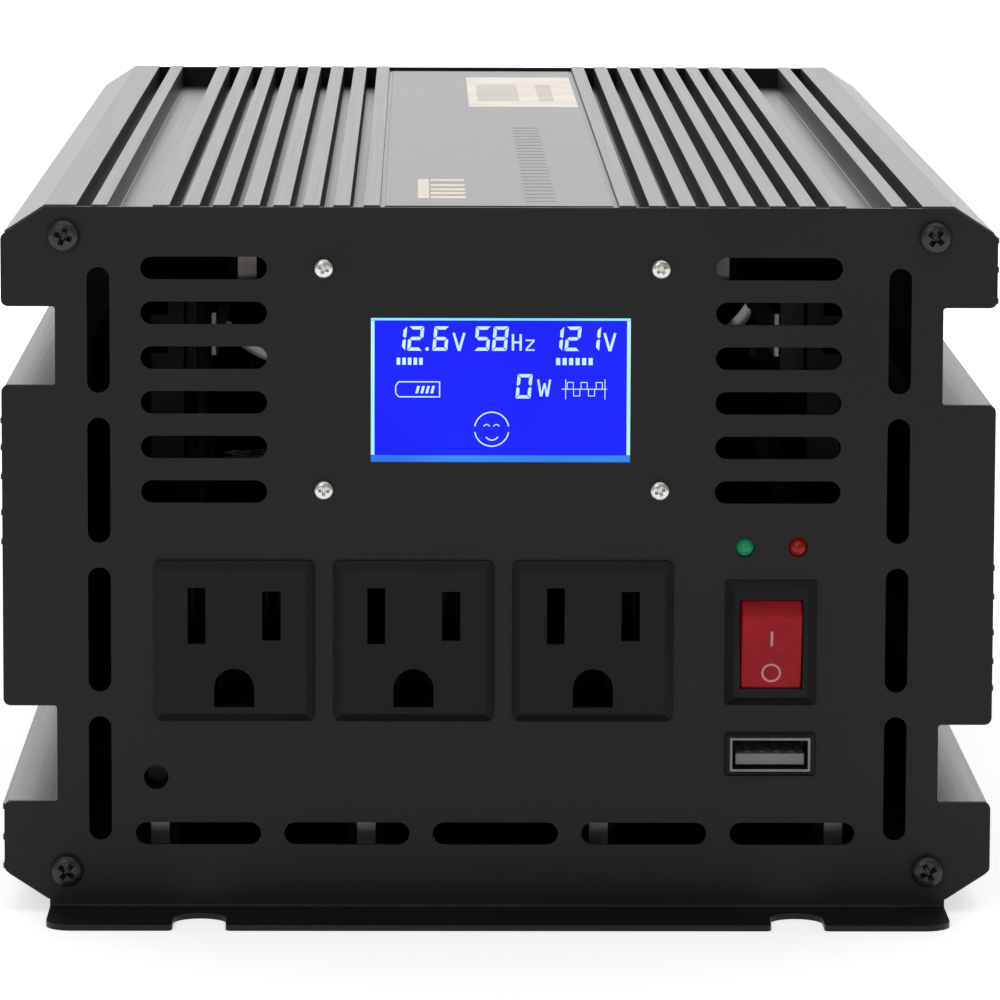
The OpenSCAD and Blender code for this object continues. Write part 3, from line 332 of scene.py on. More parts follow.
def sleeved(name, base, top, metal_above):
    """A capacitor's shrink sleeve, with its bare can showing beyond a height."""
    material, tree, shader = new_finish(name, base, 0.28)
    place = tree.nodes.new("ShaderNodeTexCoord")
    split = tree.nodes.new("ShaderNodeSeparateXYZ")
    tree.links.new(place.outputs["Object"], split.inputs["Vector"])
    edge = tree.nodes.new("ShaderNodeMath")
    edge.operation = "GREATER_THAN" if metal_above else "LESS_THAN"
    edge.inputs[1].default_value = top
    tree.links.new(split.outputs["Z"], edge.inputs[0])
    tree.links.new(tint(tree, edge.outputs["Value"], base, (0.62, 0.62, 0.64), 0.4, 0.6),
                   shader.inputs["Base Color"])
    tree.links.new(edge.outputs["Value"], shader.inputs["Metallic"])
    tree.links.new(spread(tree, noise(tree, 500, 2), 0.22, 0.36), shader.inputs["Roughness"])
    return material


def lit(name, colour, second, strength=1.0):
    """A surface that gives off its own light, shaded a little across its width."""
    material, tree, shader = new_finish(name, (0.002, 0.002, 0.003), 0.25)
    shader.inputs["Specular IOR Level"].default_value = 0.12
    tree.links.new(tint(tree, noise(tree, 45, 1), colour, second),
                   shader.inputs["Emission Color"])
    shader.inputs["Emission Strength"].default_value = strength
    return material


BOARD = board_lacquer()
FERRITE = moulded("ferrite", (0.035, 0.034, 0.036), 0.5, 0.03)
WIRE_COPPER = plated("enamelled_copper", (0.5, 0.17, 0.05), 0.24, 0.85)
EPOXY = moulded("epoxy_black", (0.018, 0.018, 0.019), 0.42, 0.01)
FUSE = moulded("fuse_green", (0.06, 0.32, 0.11), 0.25, 0.005)
WIRE_BLACK = moulded("wire_black", (0.012, 0.012, 0.012), 0.35, 0.006)
WIRE_RED = moulded("wire_red", (0.34, 0.014, 0.012), 0.35, 0.006)
RIBBON = moulded("ribbon_grey", (0.3, 0.3, 0.31), 0.42, 0.01)
BUZZER = moulded("buzzer_black", (0.006, 0.006, 0.006), 0.5, 0.01)
LABEL = moulded("label_film", (0.060, 0.060, 0.059), 0.33, 0.002)
LABEL_GOLD = plated("label_gold", (0.72, 0.61, 0.45), 0.32, 0.2)
LABEL_CREAM = moulded("label_cream", (0.93, 0.80, 0.66), 0.4, 0.004)
LABEL_PALE = moulded("label_pale", (0.10, 0.10, 0.092), 0.4, 0.004)
LABEL_TAN = moulded("label_tan", (0.60, 0.53, 0.45), 0.4, 0.004)
MARK_PINK = moulded("mark_pink", (0.5, 0.22, 0.24), 0.4, 0.004)
INPUT_SLEEVE = sleeved("input_sleeve", (0.02, 0.03, 0.13),
                       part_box("input_capacitors")[1].z - 0.5 * MM, True)
BUS_SLEEVE = sleeved("bus_sleeve", (0.02, 0.03, 0.13),
                     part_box("bus_capacitors")[0].z + 0.5 * MM, False)
SCREEN_BLUE = lit("screen_blue", (0.0040, 0.0090, 0.94), (0.0060, 0.0150, 1.0))
SCREEN_MARK = lit("screen_mark", (0.56, 0.84, 1.0), (0.68, 0.93, 1.0))
SCREEN_EDGE = lit("screen_edge", (0.24, 0.74, 1.0), (0.36, 0.86, 1.0))
SCREEN_SIDE = lit("screen_side", (0.42, 0.86, 1.0), (0.56, 0.95, 1.0))
SCREEN_LOW = lit("screen_low", (0.02, 0.19, 0.84), (0.04, 0.26, 0.92))
print("finishes:", len(bpy.data.materials))

# %% [markdown]
# ## Rounding a CAD part's edges
# A CAD solid has razor edges, and real sheet and moulded edges catch a thin line of light.
# A CAD node can't be changed, so a merged copy gets a Bevel modifier and stands for it. The
# angle limit leaves the small steps of round corners alone, and hardened normals keep the
# wide flat faces looking flat right up to their new edges.

# %% Rounded copies


def merged_copy(node, name):
    """A new object with the node's surface welded into one skin, flat faces joined."""
    work = bmesh.new()
    work.from_mesh(frame["nodes"][node].data)
    bmesh.ops.remove_doubles(work, verts=work.verts, dist=0.002 * MM)
    bmesh.ops.dissolve_limit(work, angle_limit=math.radians(0.6), verts=work.verts,
                             edges=work.edges)
    mesh = bpy.data.meshes.new(name)
    work.to_mesh(mesh)
    work.free()
    if "custom_normal" in mesh.attributes:
        mesh.attributes.remove(mesh.attributes["custom_normal"])
    mesh.materials.clear()
    obj = bpy.data.objects.new(name, mesh)
    bpy.context.scene.collection.objects.link(obj)
    return obj


def applied(obj, name=None):
    """The object with its modifiers turned into plain mesh."""
    graph = bpy.context.evaluated_depsgraph_get()
    graph.update()
    mesh = bpy.data.meshes.new_from_object(obj.evaluated_get(graph), depsgraph=graph)
    obj.modifiers.clear()
    obj.data = mesh
    mesh.name = name or obj.name
    return obj


def smooth_by_angle(obj, degrees=32):
    """Smooth shading with sharp edges where faces meet at more than the angle."""
    obj.data.shade_smooth()
    obj.data.set_sharp_from_angle(angle=math.radians(degrees))
    return obj


def rounded(node, finish, radius, body="root", segments=2, limit=34):
    """Stands a copy with rounded edges in the node's place."""
    piece = smooth_by_angle(merged_copy(node, node + "_finished"))
    bevel = piece.modifiers.new("edges", "BEVEL")
    bevel.harden_normals = True
    bevel.width = radius * MM
    bevel.segments = segments
    bevel.limit_method = "ANGLE"
    bevel.angle_limit = math.radians(limit)
    bevel.miter_outer = "MITER_ARC"
    applied(piece)
    piece.data.materials.clear()
    piece.data.materials.append(finish)
    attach(piece, body)
    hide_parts(node)
    return piece


EDGES = [
    ("front_panel", POWDER, 0.13, "panel_paint"),
    ("rear_panel", POWDER, 0.13, "panel_paint"),
    ("upper_shell", ANODISED, 0.16, "casing"),
    ("lower_shell", ANODISED, 0.16, "casing"),
    ("outlet_left", BLACK_MOULDED, 0.28, "black_plastic"),
    ("outlet_centre", BLACK_MOULDED, 0.28, "black_plastic"),
    ("outlet_right", BLACK_MOULDED, 0.28, "black_plastic"),
    ("switch_housing", BLACK_MOULDED, 0.18, "black_plastic"),
    ("usb_bezel", BLACK_MOULDED, 0.12, "black_plastic"),
    ("usb_tongue", GREY_MOULDED, 0.12, "grey_plastic"),
    ("fan_left_frame", BLACK_MOULDED, 0.4, "black_plastic"),
    ("fan_right_frame", BLACK_MOULDED, 0.4, "black_plastic"),
    ("red_bushing", RED_MOULDED, 0.5, "red_plastic"),
    ("black_bushing", BLACK_GLOSS, 0.5, "black_gloss"),
    ("input_heatsinks", SINK_BLACK, 0.2, "heatsink"),
    ("output_heatsinks", SINK_BLACK, 0.2, "heatsink"),
    ("positive_busbar", COPPER, 0.3, "copper"),
    ("negative_busbar", COPPER, 0.3, "copper"),
]
for node, finish, radius, slot in EDGES:
    piece = rounded(node, finish, radius)
    print(f"{node}: {len(piece.data.polygons)} faces")

# %% The moving pieces, each on its own body
rocker = rounded("switch_rocker", ROCKER_RED, 0.45, "switch_rocker", 4)
rounded("red_washer", BRASS, 0.2, "red_washer")
rounded("black_washer", BRASS, 0.2, "black_washer")
rounded("red_knob", RED_MOULDED, 0.35, "red_knob")
rounded("black_knob", BLACK_GLOSS, 0.35, "black_knob")
print("rocker:", len(rocker.data.polygons), "faces")

# %% [markdown]
# ## Small closed meshes
# Cutters, blades, wire loops and marks are all skins over a row of equal rings. A row that
# comes back to its start makes a loop; any other row is closed by a face at each end.

# %% Rings and plates


def skin(name, rings, loop=False):
    """A closed mesh object through rings of the same number of points."""
    work = bmesh.new()
    rows = [[work.verts.new(point) for point in ring] for ring in rings]
    count = len(rows[0])
    pairs = list(zip(rows, rows[1:] + rows[:1] if loop else rows[1:]))
    for first, second in pairs:
        for i in range(count):
            j = (i + 1) % count
            work.faces.new((first[i], first[j], second[j], second[i]))
    if not loop:
        work.faces.new(list(reversed(rows[0])))
        work.faces.new(rows[-1])
    bmesh.ops.recalc_face_normals(work, faces=work.faces)
    mesh = bpy.data.meshes.new(name)
    work.to_mesh(mesh)
    work.free()
    obj = bpy.data.objects.new(name, mesh)
    bpy.context.scene.collection.objects.link(obj)
    return obj


def plates(name, outlines, to_world, thickness, finish, slot, body, *nodes):
    """Thin closed plates on a plane: outlines in mm, standing out along the plane's third axis."""
    work = bmesh.new()
    for outline in outlines:
        low = [work.verts.new(to_world @ Vector((a * MM, b * MM, 0.005 * MM))) for a, b in outline]
        high = [work.verts.new(to_world @ Vector((a * MM, b * MM, thickness * MM)))
                for a, b in outline]
        for i in range(len(outline)):
            j = (i + 1) % len(outline)
            work.faces.new((low[i], low[j], high[j], high[i]))
        work.faces.new(list(reversed(low)))
        work.faces.new(high)
    bmesh.ops.recalc_face_normals(work, faces=work.faces)
    mesh = bpy.data.meshes.new(name)
    work.to_mesh(mesh)
    work.free()
    piece = bpy.data.objects.new(name, mesh)
    bpy.context.scene.collection.objects.link(piece)
    return settle(piece, finish, slot, body, *nodes)


def settle(piece, finish, slot, body, *nodes):
    """Gives a finished piece its material, its body and the nodes that it stands for."""
    piece.data.materials.clear()
    piece.data.materials.append(finish)
    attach(piece, body)
    if nodes:
        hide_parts(*nodes)
    return piece


def plane(right, up, out, origin):
    """Maps a plane's own right, up and out onto the frame."""
    return Matrix.Translation(origin) @ Matrix((right, up, out)).transposed().to_4x4()


def islands(node):
    """Low and high corner of each separate solid in a CAD node, in a fixed order."""
    work = bmesh.new()
    work.from_mesh(frame["nodes"][node].data)
    bmesh.ops.remove_doubles(work, verts=work.verts, dist=0.002 * MM)
    work.verts.index_update()
    seen, found = set(), []
    for start in work.verts:
        if start.index in seen:
            continue
        seen.add(start.index)
        group, waiting = [], [start]
        while waiting:
            vert = waiting.pop()
            group.append(vert.co.copy())
            for edge in vert.link_edges:
                other = edge.other_vert(vert)
                if other.index not in seen:
                    seen.add(other.index)
                    waiting.append(other)
        found.append((Vector([min(c[k] for c in group) for k in range(3)]),
                      Vector([max(c[k] for c in group) for k in range(3)])))
    work.free()
    return sorted(found, key=lambda pair: tuple(round(c, 4) for c in (*pair[0], *pair[1])))


print("board screws found:", len(islands("board_screws")))

# %% [markdown]
# ## Two trees for what repeats
# The first puts a part at every point, turned by the point's own angles and spun at random
# about its own axis. The second lays copies in a row, a ring or both: each copy moves on by
# a step and turns on by its share of a whole turn.

# %% Trees


def socket(tree, name, kind, out=False):
    """Adds a named socket to the tree's interface."""
    return tree.interface.new_socket(name, in_out="OUTPUT" if out else "INPUT", socket_type=kind)


def node_of(tree, kind, **settings):
    """A node with its settings applied."""
    made = tree.nodes.new(kind)
    for key, value in settings.items():
        setattr(made, key, value)
    return made


def ending(tree, instances, group_in):
    """Realizes instances, sets the finish and hands the geometry out."""
    real = node_of(tree, "GeometryNodeRealizeInstances")
    paint = node_of(tree, "GeometryNodeSetMaterial")
    group_out = node_of(tree, "NodeGroupOutput")
    tree.links.new(instances, real.inputs["Geometry"])
    tree.links.new(real.outputs["Geometry"], paint.inputs["Geometry"])
    tree.links.new(group_in.outputs["Finish"], paint.inputs["Material"])
    tree.links.new(paint.outputs["Geometry"], group_out.inputs["Geometry"])


def points_tree():
    """A part at every point of a mesh."""
    tree = bpy.data.node_groups.new("part at every point", "GeometryNodeTree")
    socket(tree, "Points", "NodeSocketGeometry")
    socket(tree, "Part", "NodeSocketObject")
    socket(tree, "Spin", "NodeSocketFloat")
    socket(tree, "Seed", "NodeSocketInt")
    socket(tree, "Finish", "NodeSocketMaterial")
    socket(tree, "Geometry", "NodeSocketGeometry", True)
    group_in = node_of(tree, "NodeGroupInput")
    part = node_of(tree, "GeometryNodeObjectInfo", transform_space="ORIGINAL")
    turn = node_of(tree, "GeometryNodeInputNamedAttribute", data_type="FLOAT_VECTOR")
    turn.inputs["Name"].default_value = "turn"
    put = node_of(tree, "GeometryNodeInstanceOnPoints")
    chance = node_of(tree, "FunctionNodeRandomValue", data_type="FLOAT")
    about = node_of(tree, "ShaderNodeCombineXYZ")
    spin = node_of(tree, "GeometryNodeRotateInstances")
    tree.links.new(group_in.outputs["Points"], put.inputs["Points"])
    tree.links.new(group_in.outputs["Part"], part.inputs["Object"])
    tree.links.new(part.outputs["Geometry"], put.inputs["Instance"])
    tree.links.new(turn.outputs["Attribute"], put.inputs["Rotation"])
    tree.links.new(group_in.outputs["Spin"], chance.inputs[3])
    tree.links.new(group_in.outputs["Seed"], chance.inputs["Seed"])
    tree.links.new(chance.outputs[1], about.inputs["Z"])
    tree.links.new(put.outputs["Instances"], spin.inputs["Instances"])
    tree.links.new(about.outputs["Vector"], spin.inputs["Rotation"])
    ending(tree, spin.outputs["Instances"], group_in)
    return tree


def row_tree():
    """Copies in a row, a ring or a helix."""
    tree = bpy.data.node_groups.new("row or ring of copies", "GeometryNodeTree")
    socket(tree, "Nothing", "NodeSocketGeometry")
    socket(tree, "Part", "NodeSocketObject")
    socket(tree, "Copies", "NodeSocketInt")
    socket(tree, "Start", "NodeSocketVector")
    socket(tree, "Step", "NodeSocketVector")
    socket(tree, "Whole turn", "NodeSocketVector")
    socket(tree, "Finish", "NodeSocketMaterial")
    socket(tree, "Geometry", "NodeSocketGeometry", True)
    group_in = node_of(tree, "NodeGroupInput")
    part = node_of(tree, "GeometryNodeObjectInfo", transform_space="ORIGINAL")
    line = node_of(tree, "GeometryNodeMeshLine", mode="OFFSET")
    index = node_of(tree, "GeometryNodeInputIndex")
    share = node_of(tree, "ShaderNodeMath", operation="DIVIDE")
    turn = node_of(tree, "ShaderNodeVectorMath", operation="SCALE")
    put = node_of(tree, "GeometryNodeInstanceOnPoints")
    tree.links.new(group_in.outputs["Copies"], line.inputs["Count"])
    tree.links.new(group_in.outputs["Start"], line.inputs["Start Location"])
    tree.links.new(group_in.outputs["Step"], line.inputs["Offset"])
    tree.links.new(index.outputs["Index"], share.inputs[0])
    tree.links.new(group_in.outputs["Copies"], share.inputs[1])
    tree.links.new(group_in.outputs["Whole turn"], turn.inputs[0])
    tree.links.new(share.outputs["Value"], turn.inputs["Scale"])
    tree.links.new(group_in.outputs["Part"], part.inputs["Object"])
    tree.links.new(line.outputs["Mesh"], put.inputs["Points"])
    tree.links.new(part.outputs["Geometry"], put.inputs["Instance"])
    tree.links.new(turn.outputs["Vector"], put.inputs["Rotation"])
    ending(tree, put.outputs["Instances"], group_in)
    return tree


POINTS_TREE = points_tree()
ROW_TREE = row_tree()
print("trees:", [tree.name for tree in bpy.data.node_groups])

# %% Running a tree


def grown(name, tree, mesh, **inputs):
    """Runs a tree with these inputs and keeps the result as a plain mesh."""
    obj = bpy.data.objects.new(name, mesh)
    bpy.context.scene.collection.objects.link(obj)
    modifier = obj.modifiers.new("tree", "NODES")
    modifier.node_group = tree
    names = {item.name: item.identifier for item in tree.interface.items_tree
             if item.in_out == "INPUT"}
    for key, value in inputs.items():
        modifier[names[key.replace("_", " ")]] = value
    return applied(obj)


def at_points(name, places, part, finish, spin=0.0, seed=1):
    """A part at each (place, turn)."""
    mesh = bpy.data.meshes.new(name + "_points")
    mesh.from_pydata([place for place, _ in places], [], [])
    turns = mesh.attributes.new("turn", "FLOAT_VECTOR", "POINT")
    for i, (_, turn) in enumerate(places):
        turns.data[i].vector = turn
    return grown(name, POINTS_TREE, mesh, Part=part, Spin=spin, Seed=seed, Finish=finish)


def in_row(name, part, copies, start, step, whole_turn, finish):
    """Copies of a part in a row or a ring."""
    return grown(name, ROW_TREE, bpy.data.meshes.new(name), Part=part, Copies=copies,
                 Start=tuple(start), Step=tuple(step), Whole_turn=tuple(whole_turn),
                 Finish=finish)


def away(*objects):
    """Removes helper objects once their copies are made."""
    for obj in objects:
        bpy.data.objects.remove(obj)


# %% [markdown]
# ## Screws
# A pan-head screw's cross recess is what the eye finds first. One tapered cutter is set at
# every head with its own random spin, as real screws stop where they like, and is taken
# away from a copy of the CAD screws.

# %% Screw recesses
OUT_FRONT, OUT_REAR = (math.pi / 2, 0, 0), (-math.pi / 2, 0, 0)
OUT_UP, OUT_DOWN = (0, 0, 0), (math.pi, 0, 0)


def cross_cutter(arm, width, depth):
    """A tapered cross whose wide end is up and whose origin is at the head's top."""
    half = width / 2
    plan = [(half, arm), (half, half), (arm, half), (arm, -half), (half, -half), (half, -arm),
            (-half, -arm), (-half, -half), (-arm, -half), (-arm, half), (-half, half),
            (-half, arm)]
    return skin("cross_cutter", [
        [Vector((x * size * MM, y * size * MM, z * MM)) for x, y in plan]
        for z, size in ((0.3, 1.08), (-depth, 0.42))])


def recessed(node, heads, arm, width, depth, finish, slot, seed):
    """Stands a copy with cross recesses in the screws' place."""
    piece = merged_copy(node, node + "_finished")
    cutter = cross_cutter(arm, width, depth)
    cutters = at_points(node + "_cutters", heads, cutter, finish, 2 * math.pi, seed)
    cut = piece.modifiers.new("recess", "BOOLEAN")
    cut.object = cutters
    cut.operation = "DIFFERENCE"
    cut.solver = "EXACT"
    applied(piece)
    away(cutters, cutter)
    smooth_by_angle(settle(piece, finish, slot, "root", node), 40)
    print(f"{node}: {len(heads)} recesses, {len(piece.data.polygons)} faces")


def heads_along_y(node, front, thinnest=3.0):
    """The head centres of the screws in a node, seen from the front or from the rear."""
    found = [(low, high) for low, high in islands(node)
             if high.y - low.y > thinnest * MM]
    return [(((low.x + high.x) / 2, low.y if front else high.y, (low.z + high.z) / 2),
             OUT_FRONT if front else OUT_REAR) for low, high in found]


recessed("front_panel_screws", heads_along_y("front_panel_screws", True), 1.6, 0.95, 1.45,
         BLACK_SCREW, "black_screw", 3)
recessed("rear_panel_screws", heads_along_y("rear_panel_screws", False), 1.6, 0.95, 1.45,
         BLACK_SCREW, "black_screw", 5)
recessed("lcd_screws", heads_along_y("lcd_screws", True), 1.02, 0.6, 0.85, NICKEL, "nickel", 7)
recessed("fan_screws", heads_along_y("fan_screws", False), 2.0, 1.1, 1.7, STEEL, "steel", 11)
recessed("ground_screw", heads_along_y("ground_screw", False, 5), 2.5, 1.3, 2.1, STEEL, "steel",
         13)
BOARD_HEADS = [(((low.x + high.x) / 2, (low.y + high.y) / 2, high.z if low.z < 60 * MM else low.z),
                OUT_UP if low.z < 60 * MM else OUT_DOWN) for low, high in islands("board_screws")]
recessed("board_screws", BOARD_HEADS, 1.6, 0.95, 1.3, STEEL, "steel", 17)

# %% [markdown]
# ## The display
# The glass glows blue behind the window, with a bright line where the light guide meets each
# edge. The readings are seven-segment digits. Marks are laid out in millimetres from the
# window's upper left corner, and v grows downwards as it does on a drawing.

# %% Display marks
WINDOW_LEFT, WINDOW_RIGHT = GLASS_LO.x + 1.5 * MM, GLASS_HI.x - 1.5 * MM
WINDOW_LOW, WINDOW_TOP = GLASS_LO.z + 1.5 * MM, GLASS_HI.z - 1.5 * MM
WINDOW_W, WINDOW_H = (WINDOW_RIGHT - WINDOW_LEFT) / MM, (WINDOW_TOP - WINDOW_LOW) / MM
ON_GLASS = plane((1, 0, 0), (0, 0, 1), (0, -1, 0), (WINDOW_LEFT, GLASS_LO.y, WINDOW_TOP))
DIGIT_W, DIGIT_H, STROKE, SLIT = 2.55, 4.15, 0.56, 0.09
LIT_SEGMENTS = {"0": "ABCDEF", "1": "BC", "2": "ABGED", "5": "AFGCD", "6": "AFGEDC",
                "8": "ABCDEFG"}


def segment_shapes():
    """The seven segments of one digit, from its upper left corner."""
    w, h, t, g = DIGIT_W, DIGIT_H, STROKE, SLIT
    upper = [(0, g), (t, t + g), (t, h / 2 - t / 2 - g), (0.3 * t, h / 2 - g), (0, h / 2 - 0.3)]
    lower = [(u, h - v) for u, v in upper]
    top = [(g, 0), (w - g, 0), (w - t - g, t), (t + g, t)]
    return {
        "A": top, "D": [(u, h - v) for u, v in top],
        "F": upper, "B": [(w - u, v) for u, v in upper],
        "E": lower, "C": [(w - u, v) for u, v in lower],
        "G": [(0.5 * t, h / 2), (t + g, h / 2 - t / 2), (w - t - g, h / 2 - t / 2),
              (w - 0.5 * t, h / 2), (w - t - g, h / 2 + t / 2), (t + g, h / 2 + t / 2)],
    }


def digit(figure, u0, v0):
    """A slanted seven-segment figure."""
    shapes = segment_shapes()
    return [[(u0 + u + 0.09 * (DIGIT_H - v), v0 + v) for u, v in shapes[letter]]
            for letter in LIT_SEGMENTS[figure]]


def stroke(u0, v0, u1, v1, width=0.3):
    """A straight mark of this width."""
    along = Vector((u1 - u0, v1 - v0)).normalized() * width / 2
    side = Vector((-along.y, along.x))
    start, end = Vector((u0, v0)) - along * 0.5, Vector((u1, v1)) + along * 0.5
    return [tuple(p) for p in (start - side, end - side, end + side, start + side)]


def arc(u0, v0, radius, start, end, width, steps=18):
    """A round mark from one angle to another, in degrees."""
    angles = [math.radians(start + (end - start) * i / steps) for i in range(steps + 1)]
    outer = [(u0 + (radius + width / 2) * math.cos(a), v0 + (radius + width / 2) * math.sin(a))
             for a in angles]
    inner = [(u0 + (radius - width / 2) * math.cos(a), v0 + (radius - width / 2) * math.sin(a))
             for a in reversed(angles)]
    return outer + inner


def letter_v(u0, v0):
    """A unit letter of two leaning strokes."""
    return [stroke(u0, v0, u0 + 0.85, v0 + 2.85, 0.42),
            stroke(u0 + 1.75, v0, u0 + 0.95, v0 + 2.85, 0.42)]


def block(u0, v0, u1, v1):
    """A rectangle by two corners."""
    return [(u0, v0), (u1, v0), (u1, v1), (u0, v1)]


READINGS = (digit("1", 3.2, 1.5) + digit("2", 6.1, 1.5) + digit("6", 10.35, 1.5)
            + digit("5", 17.4, 1.5) + digit("8", 20.4, 1.5)
            + digit("1", 29.75, 1.5) + digit("2", 32.7, 1.5) + digit("1", 36.0, 1.5)
            + [arc(9.5, 5.35, 0.17, 0, 350, 0.3, 12)]
            + letter_v(14.0, 2.7) + letter_v(39.5, 2.7)
            + [stroke(24.0, 2.9, 24.0, 5.5, 0.4), stroke(25.3, 2.9, 25.3, 5.5, 0.4),
               stroke(24.1, 4.2, 25.2, 4.2, 0.34)]
            + [stroke(26.2, 3.85, 27.6, 3.85, 0.26), stroke(27.5, 4.0, 26.3, 5.3, 0.3),
               stroke(26.2, 5.5, 27.6, 5.5, 0.26)]
            + digit("0", 24.45, 9.6)
            + [stroke(28.3, 10.6, 28.75, 13.3, 0.36), stroke(29.35, 11.2, 28.85, 13.3, 0.3),
               stroke(29.4, 11.2, 29.75, 13.3, 0.3), stroke(30.3, 10.6, 29.85, 13.3, 0.36)])
CAPTIONS = [block(u, 6.85, u + 0.6, 8.05) for u in (4.35, 5.3, 6.25, 7.2, 8.15)] + [
    block(u, 6.85, u + 0.7, 8.05) for u in (31.3, 32.4, 33.5, 34.6, 35.7, 36.8)]
BATTERY = [stroke(4.75, 10.95, 11.6, 10.95, 0.2), stroke(4.75, 13.5, 11.6, 13.5, 0.2),
           stroke(11.62, 10.95, 11.62, 13.5, 0.2), stroke(4.7, 10.95, 4.2, 11.6, 0.2),
           stroke(4.2, 11.7, 4.2, 12.8, 0.2), stroke(4.2, 12.9, 4.7, 13.5, 0.2)] + [
    [(u + 0.32, 11.65), (u + 0.78, 11.65), (u + 0.46, 12.9), (u, 12.9)]
    for u in (7.5, 8.35, 9.2, 10.05)]
WAVE = [stroke(32.3, 12.15, 39.9, 12.15, 0.14), stroke(32.95, 10.5, 32.95, 13.85, 0.14),
        stroke(39.6, 10.5, 39.6, 13.85, 0.14)]
for u, side in ((33.2, -1), (34.3, 1), (35.55, -1), (36.8, 1), (38.1, -1)):
    WAVE += [stroke(u, 12.15, u, 12.15 + side * 1.15, 0.13),
             stroke(u, 12.15 + side * 1.15, u + 1.05, 12.15 + side * 1.15, 0.13),
             stroke(u + 1.05, 12.15 + side * 1.15, u + 1.05, 12.15, 0.13)]
FACE = [arc(20.45, 19.0, 2.9, 190, 350, 0.22, 30), arc(20.45, 19.0, 2.9, 10, 170, 0.22, 30),
        arc(19.6, 18.75, 0.55, 205, 335, 0.18, 8), arc(21.25, 18.75, 0.55, 205, 335, 0.18, 8),
        arc(20.5, 19.6, 1.25, 35, 145, 0.22, 10)]


def upright(outlines):
    """Turns v from downwards to upwards."""
    return [[(u, -v) for u, v in outline] for outline in outlines]


marks = plates("display_marks", upright(READINGS + CAPTIONS + BATTERY + WAVE + FACE), ON_GLASS,
               0.03, SCREEN_MARK, "display", "root")
print("display marks:", len(marks.data.polygons), "faces")

# %% Display glass and its bright edges
field = merged_copy("lcd_glass", "display_field")
settle(field, SCREEN_BLUE, "display", "root", "lcd_glass")


plates("display_edge_top", upright([block(0, 0, WINDOW_W, 0.5)]), ON_GLASS, 0.02,
       SCREEN_EDGE, "display", "root")
plates("display_edge_sides", upright([block(0, 0.55, 0.6, WINDOW_H - 1.2),
                                      block(WINDOW_W - 0.6, 0.55, WINDOW_W, WINDOW_H - 1.2)]),
       ON_GLASS, 0.02, SCREEN_SIDE, "display", "root")
plates("display_edge_bright", upright([block(0, WINDOW_H - 1.15, WINDOW_W, WINDOW_H - 0.55)]),
       ON_GLASS, 0.02, SCREEN_LOW, "display", "root")
plates("display_edge_low", upright([block(0, WINDOW_H - 0.55, WINDOW_W, WINDOW_H)]),
       ON_GLASS, 0.02, SCREEN_LOW, "display", "root")
print("display field and edges made")

# %% [markdown]
# ## Rocker marks
# The rocker stands tilted by half its swing at rest, so its marks lie on a plane through
# its face, turned about the hinge. They ride on the rocker.

# %% Rocker marks
ROCKER_JOINT = next(joint for joint in frame["joints"] if joint["name"] == "switch_rocker_tilt")
TILT = math.radians(ROCKER_JOINT["range_deg"][1] / 2)
FACE_OUT = 5.4 * MM
TILTED = Matrix.Rotation(TILT, 3, "X")
ON_ROCKER = plane(TILTED @ Vector((1, 0, 0)), TILTED @ Vector((0, 0, 1)),
                  TILTED @ Vector((0, -1, 0)),
                  Vector(ROCKER_JOINT["pos_m"]) + TILTED @ Vector((0, -FACE_OUT, 0)))
plates("rocker_marks", [block(-0.22, 1.05, 0.22, 3.7),
                        arc(0, -3.8, 1.5, 0, 179.9, 0.36, 24),
                        arc(0, -3.8, 1.5, 180, 359.9, 0.36, 24)],
       ON_ROCKER, 0.03, MARK_PINK, "red_rocker", "switch_rocker")
print("rocker marks on their plane")

# %% [markdown]
# ## The top label
# A plain film lies in the shallow recess between the ribs. Its printed areas are thin
# plates of colour with no words on them.

# %% Label
INK_MM = 0.02
rounded("top_label", LABEL, 0.1)
LABEL_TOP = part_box("top_label")[1].z
ON_LABEL = plane((1, 0, 0), (0, 1, 0), (0, 0, 1), (0, FRONT_Y, LABEL_TOP))
plates("label_cream_block", [block(-3.4, 235, 19.0, 323)], ON_LABEL, INK_MM, LABEL_CREAM,
       "label", "root")
plates("label_tan_patches", [block(-1.5, 252, 7.2, 300), block(11.2, 252, 14.4, 300)],
       plane((1, 0, 0), (0, 1, 0), (0, 0, 1), (0, FRONT_Y, LABEL_TOP + INK_MM * MM)), INK_MM,
       LABEL_TAN, "label", "root")
plates("label_gold_patch", [block(-13.8, 21, -11.9, 60)] + [
    block(-11.6, y, -5.6, y + 4.6) for y in (21, 29, 36.5, 45, 55.4)], ON_LABEL, INK_MM,
       LABEL_GOLD, "label", "root")
bar = skin("label_bar", [[Vector((x * MM, y * MM, z * MM)) for x, y in
                          ((-2.6, -1.1), (2.6, -1.1), (2.6, 1.1), (-2.6, 1.1))]
                         for z in (0.005, INK_MM)])
rows = in_row("label_rows", bar, 24, (7.2 * MM, FRONT_Y + 16 * MM, LABEL_TOP),
              (0, 7.1 * MM, 0), (0, 0, 0), LABEL_PALE)
settle(rows, LABEL_PALE, "label", "root")
away(bar)
print("label plates and", len(rows.data.polygons) // 6, "bars")

# %% [markdown]
# ## Fans
# A moulded fan blade is curved and twisted: steep at the hub, flatter at the tip. One blade
# is built from its sections and the row tree sets copies round each hub. The blades overlap
# as seen along the axle, so hardly any daylight comes through.

# %% Fan rotors
FAN_JOINTS = {joint["child"]: joint for joint in frame["joints"] if joint["child"].startswith("fan_")}


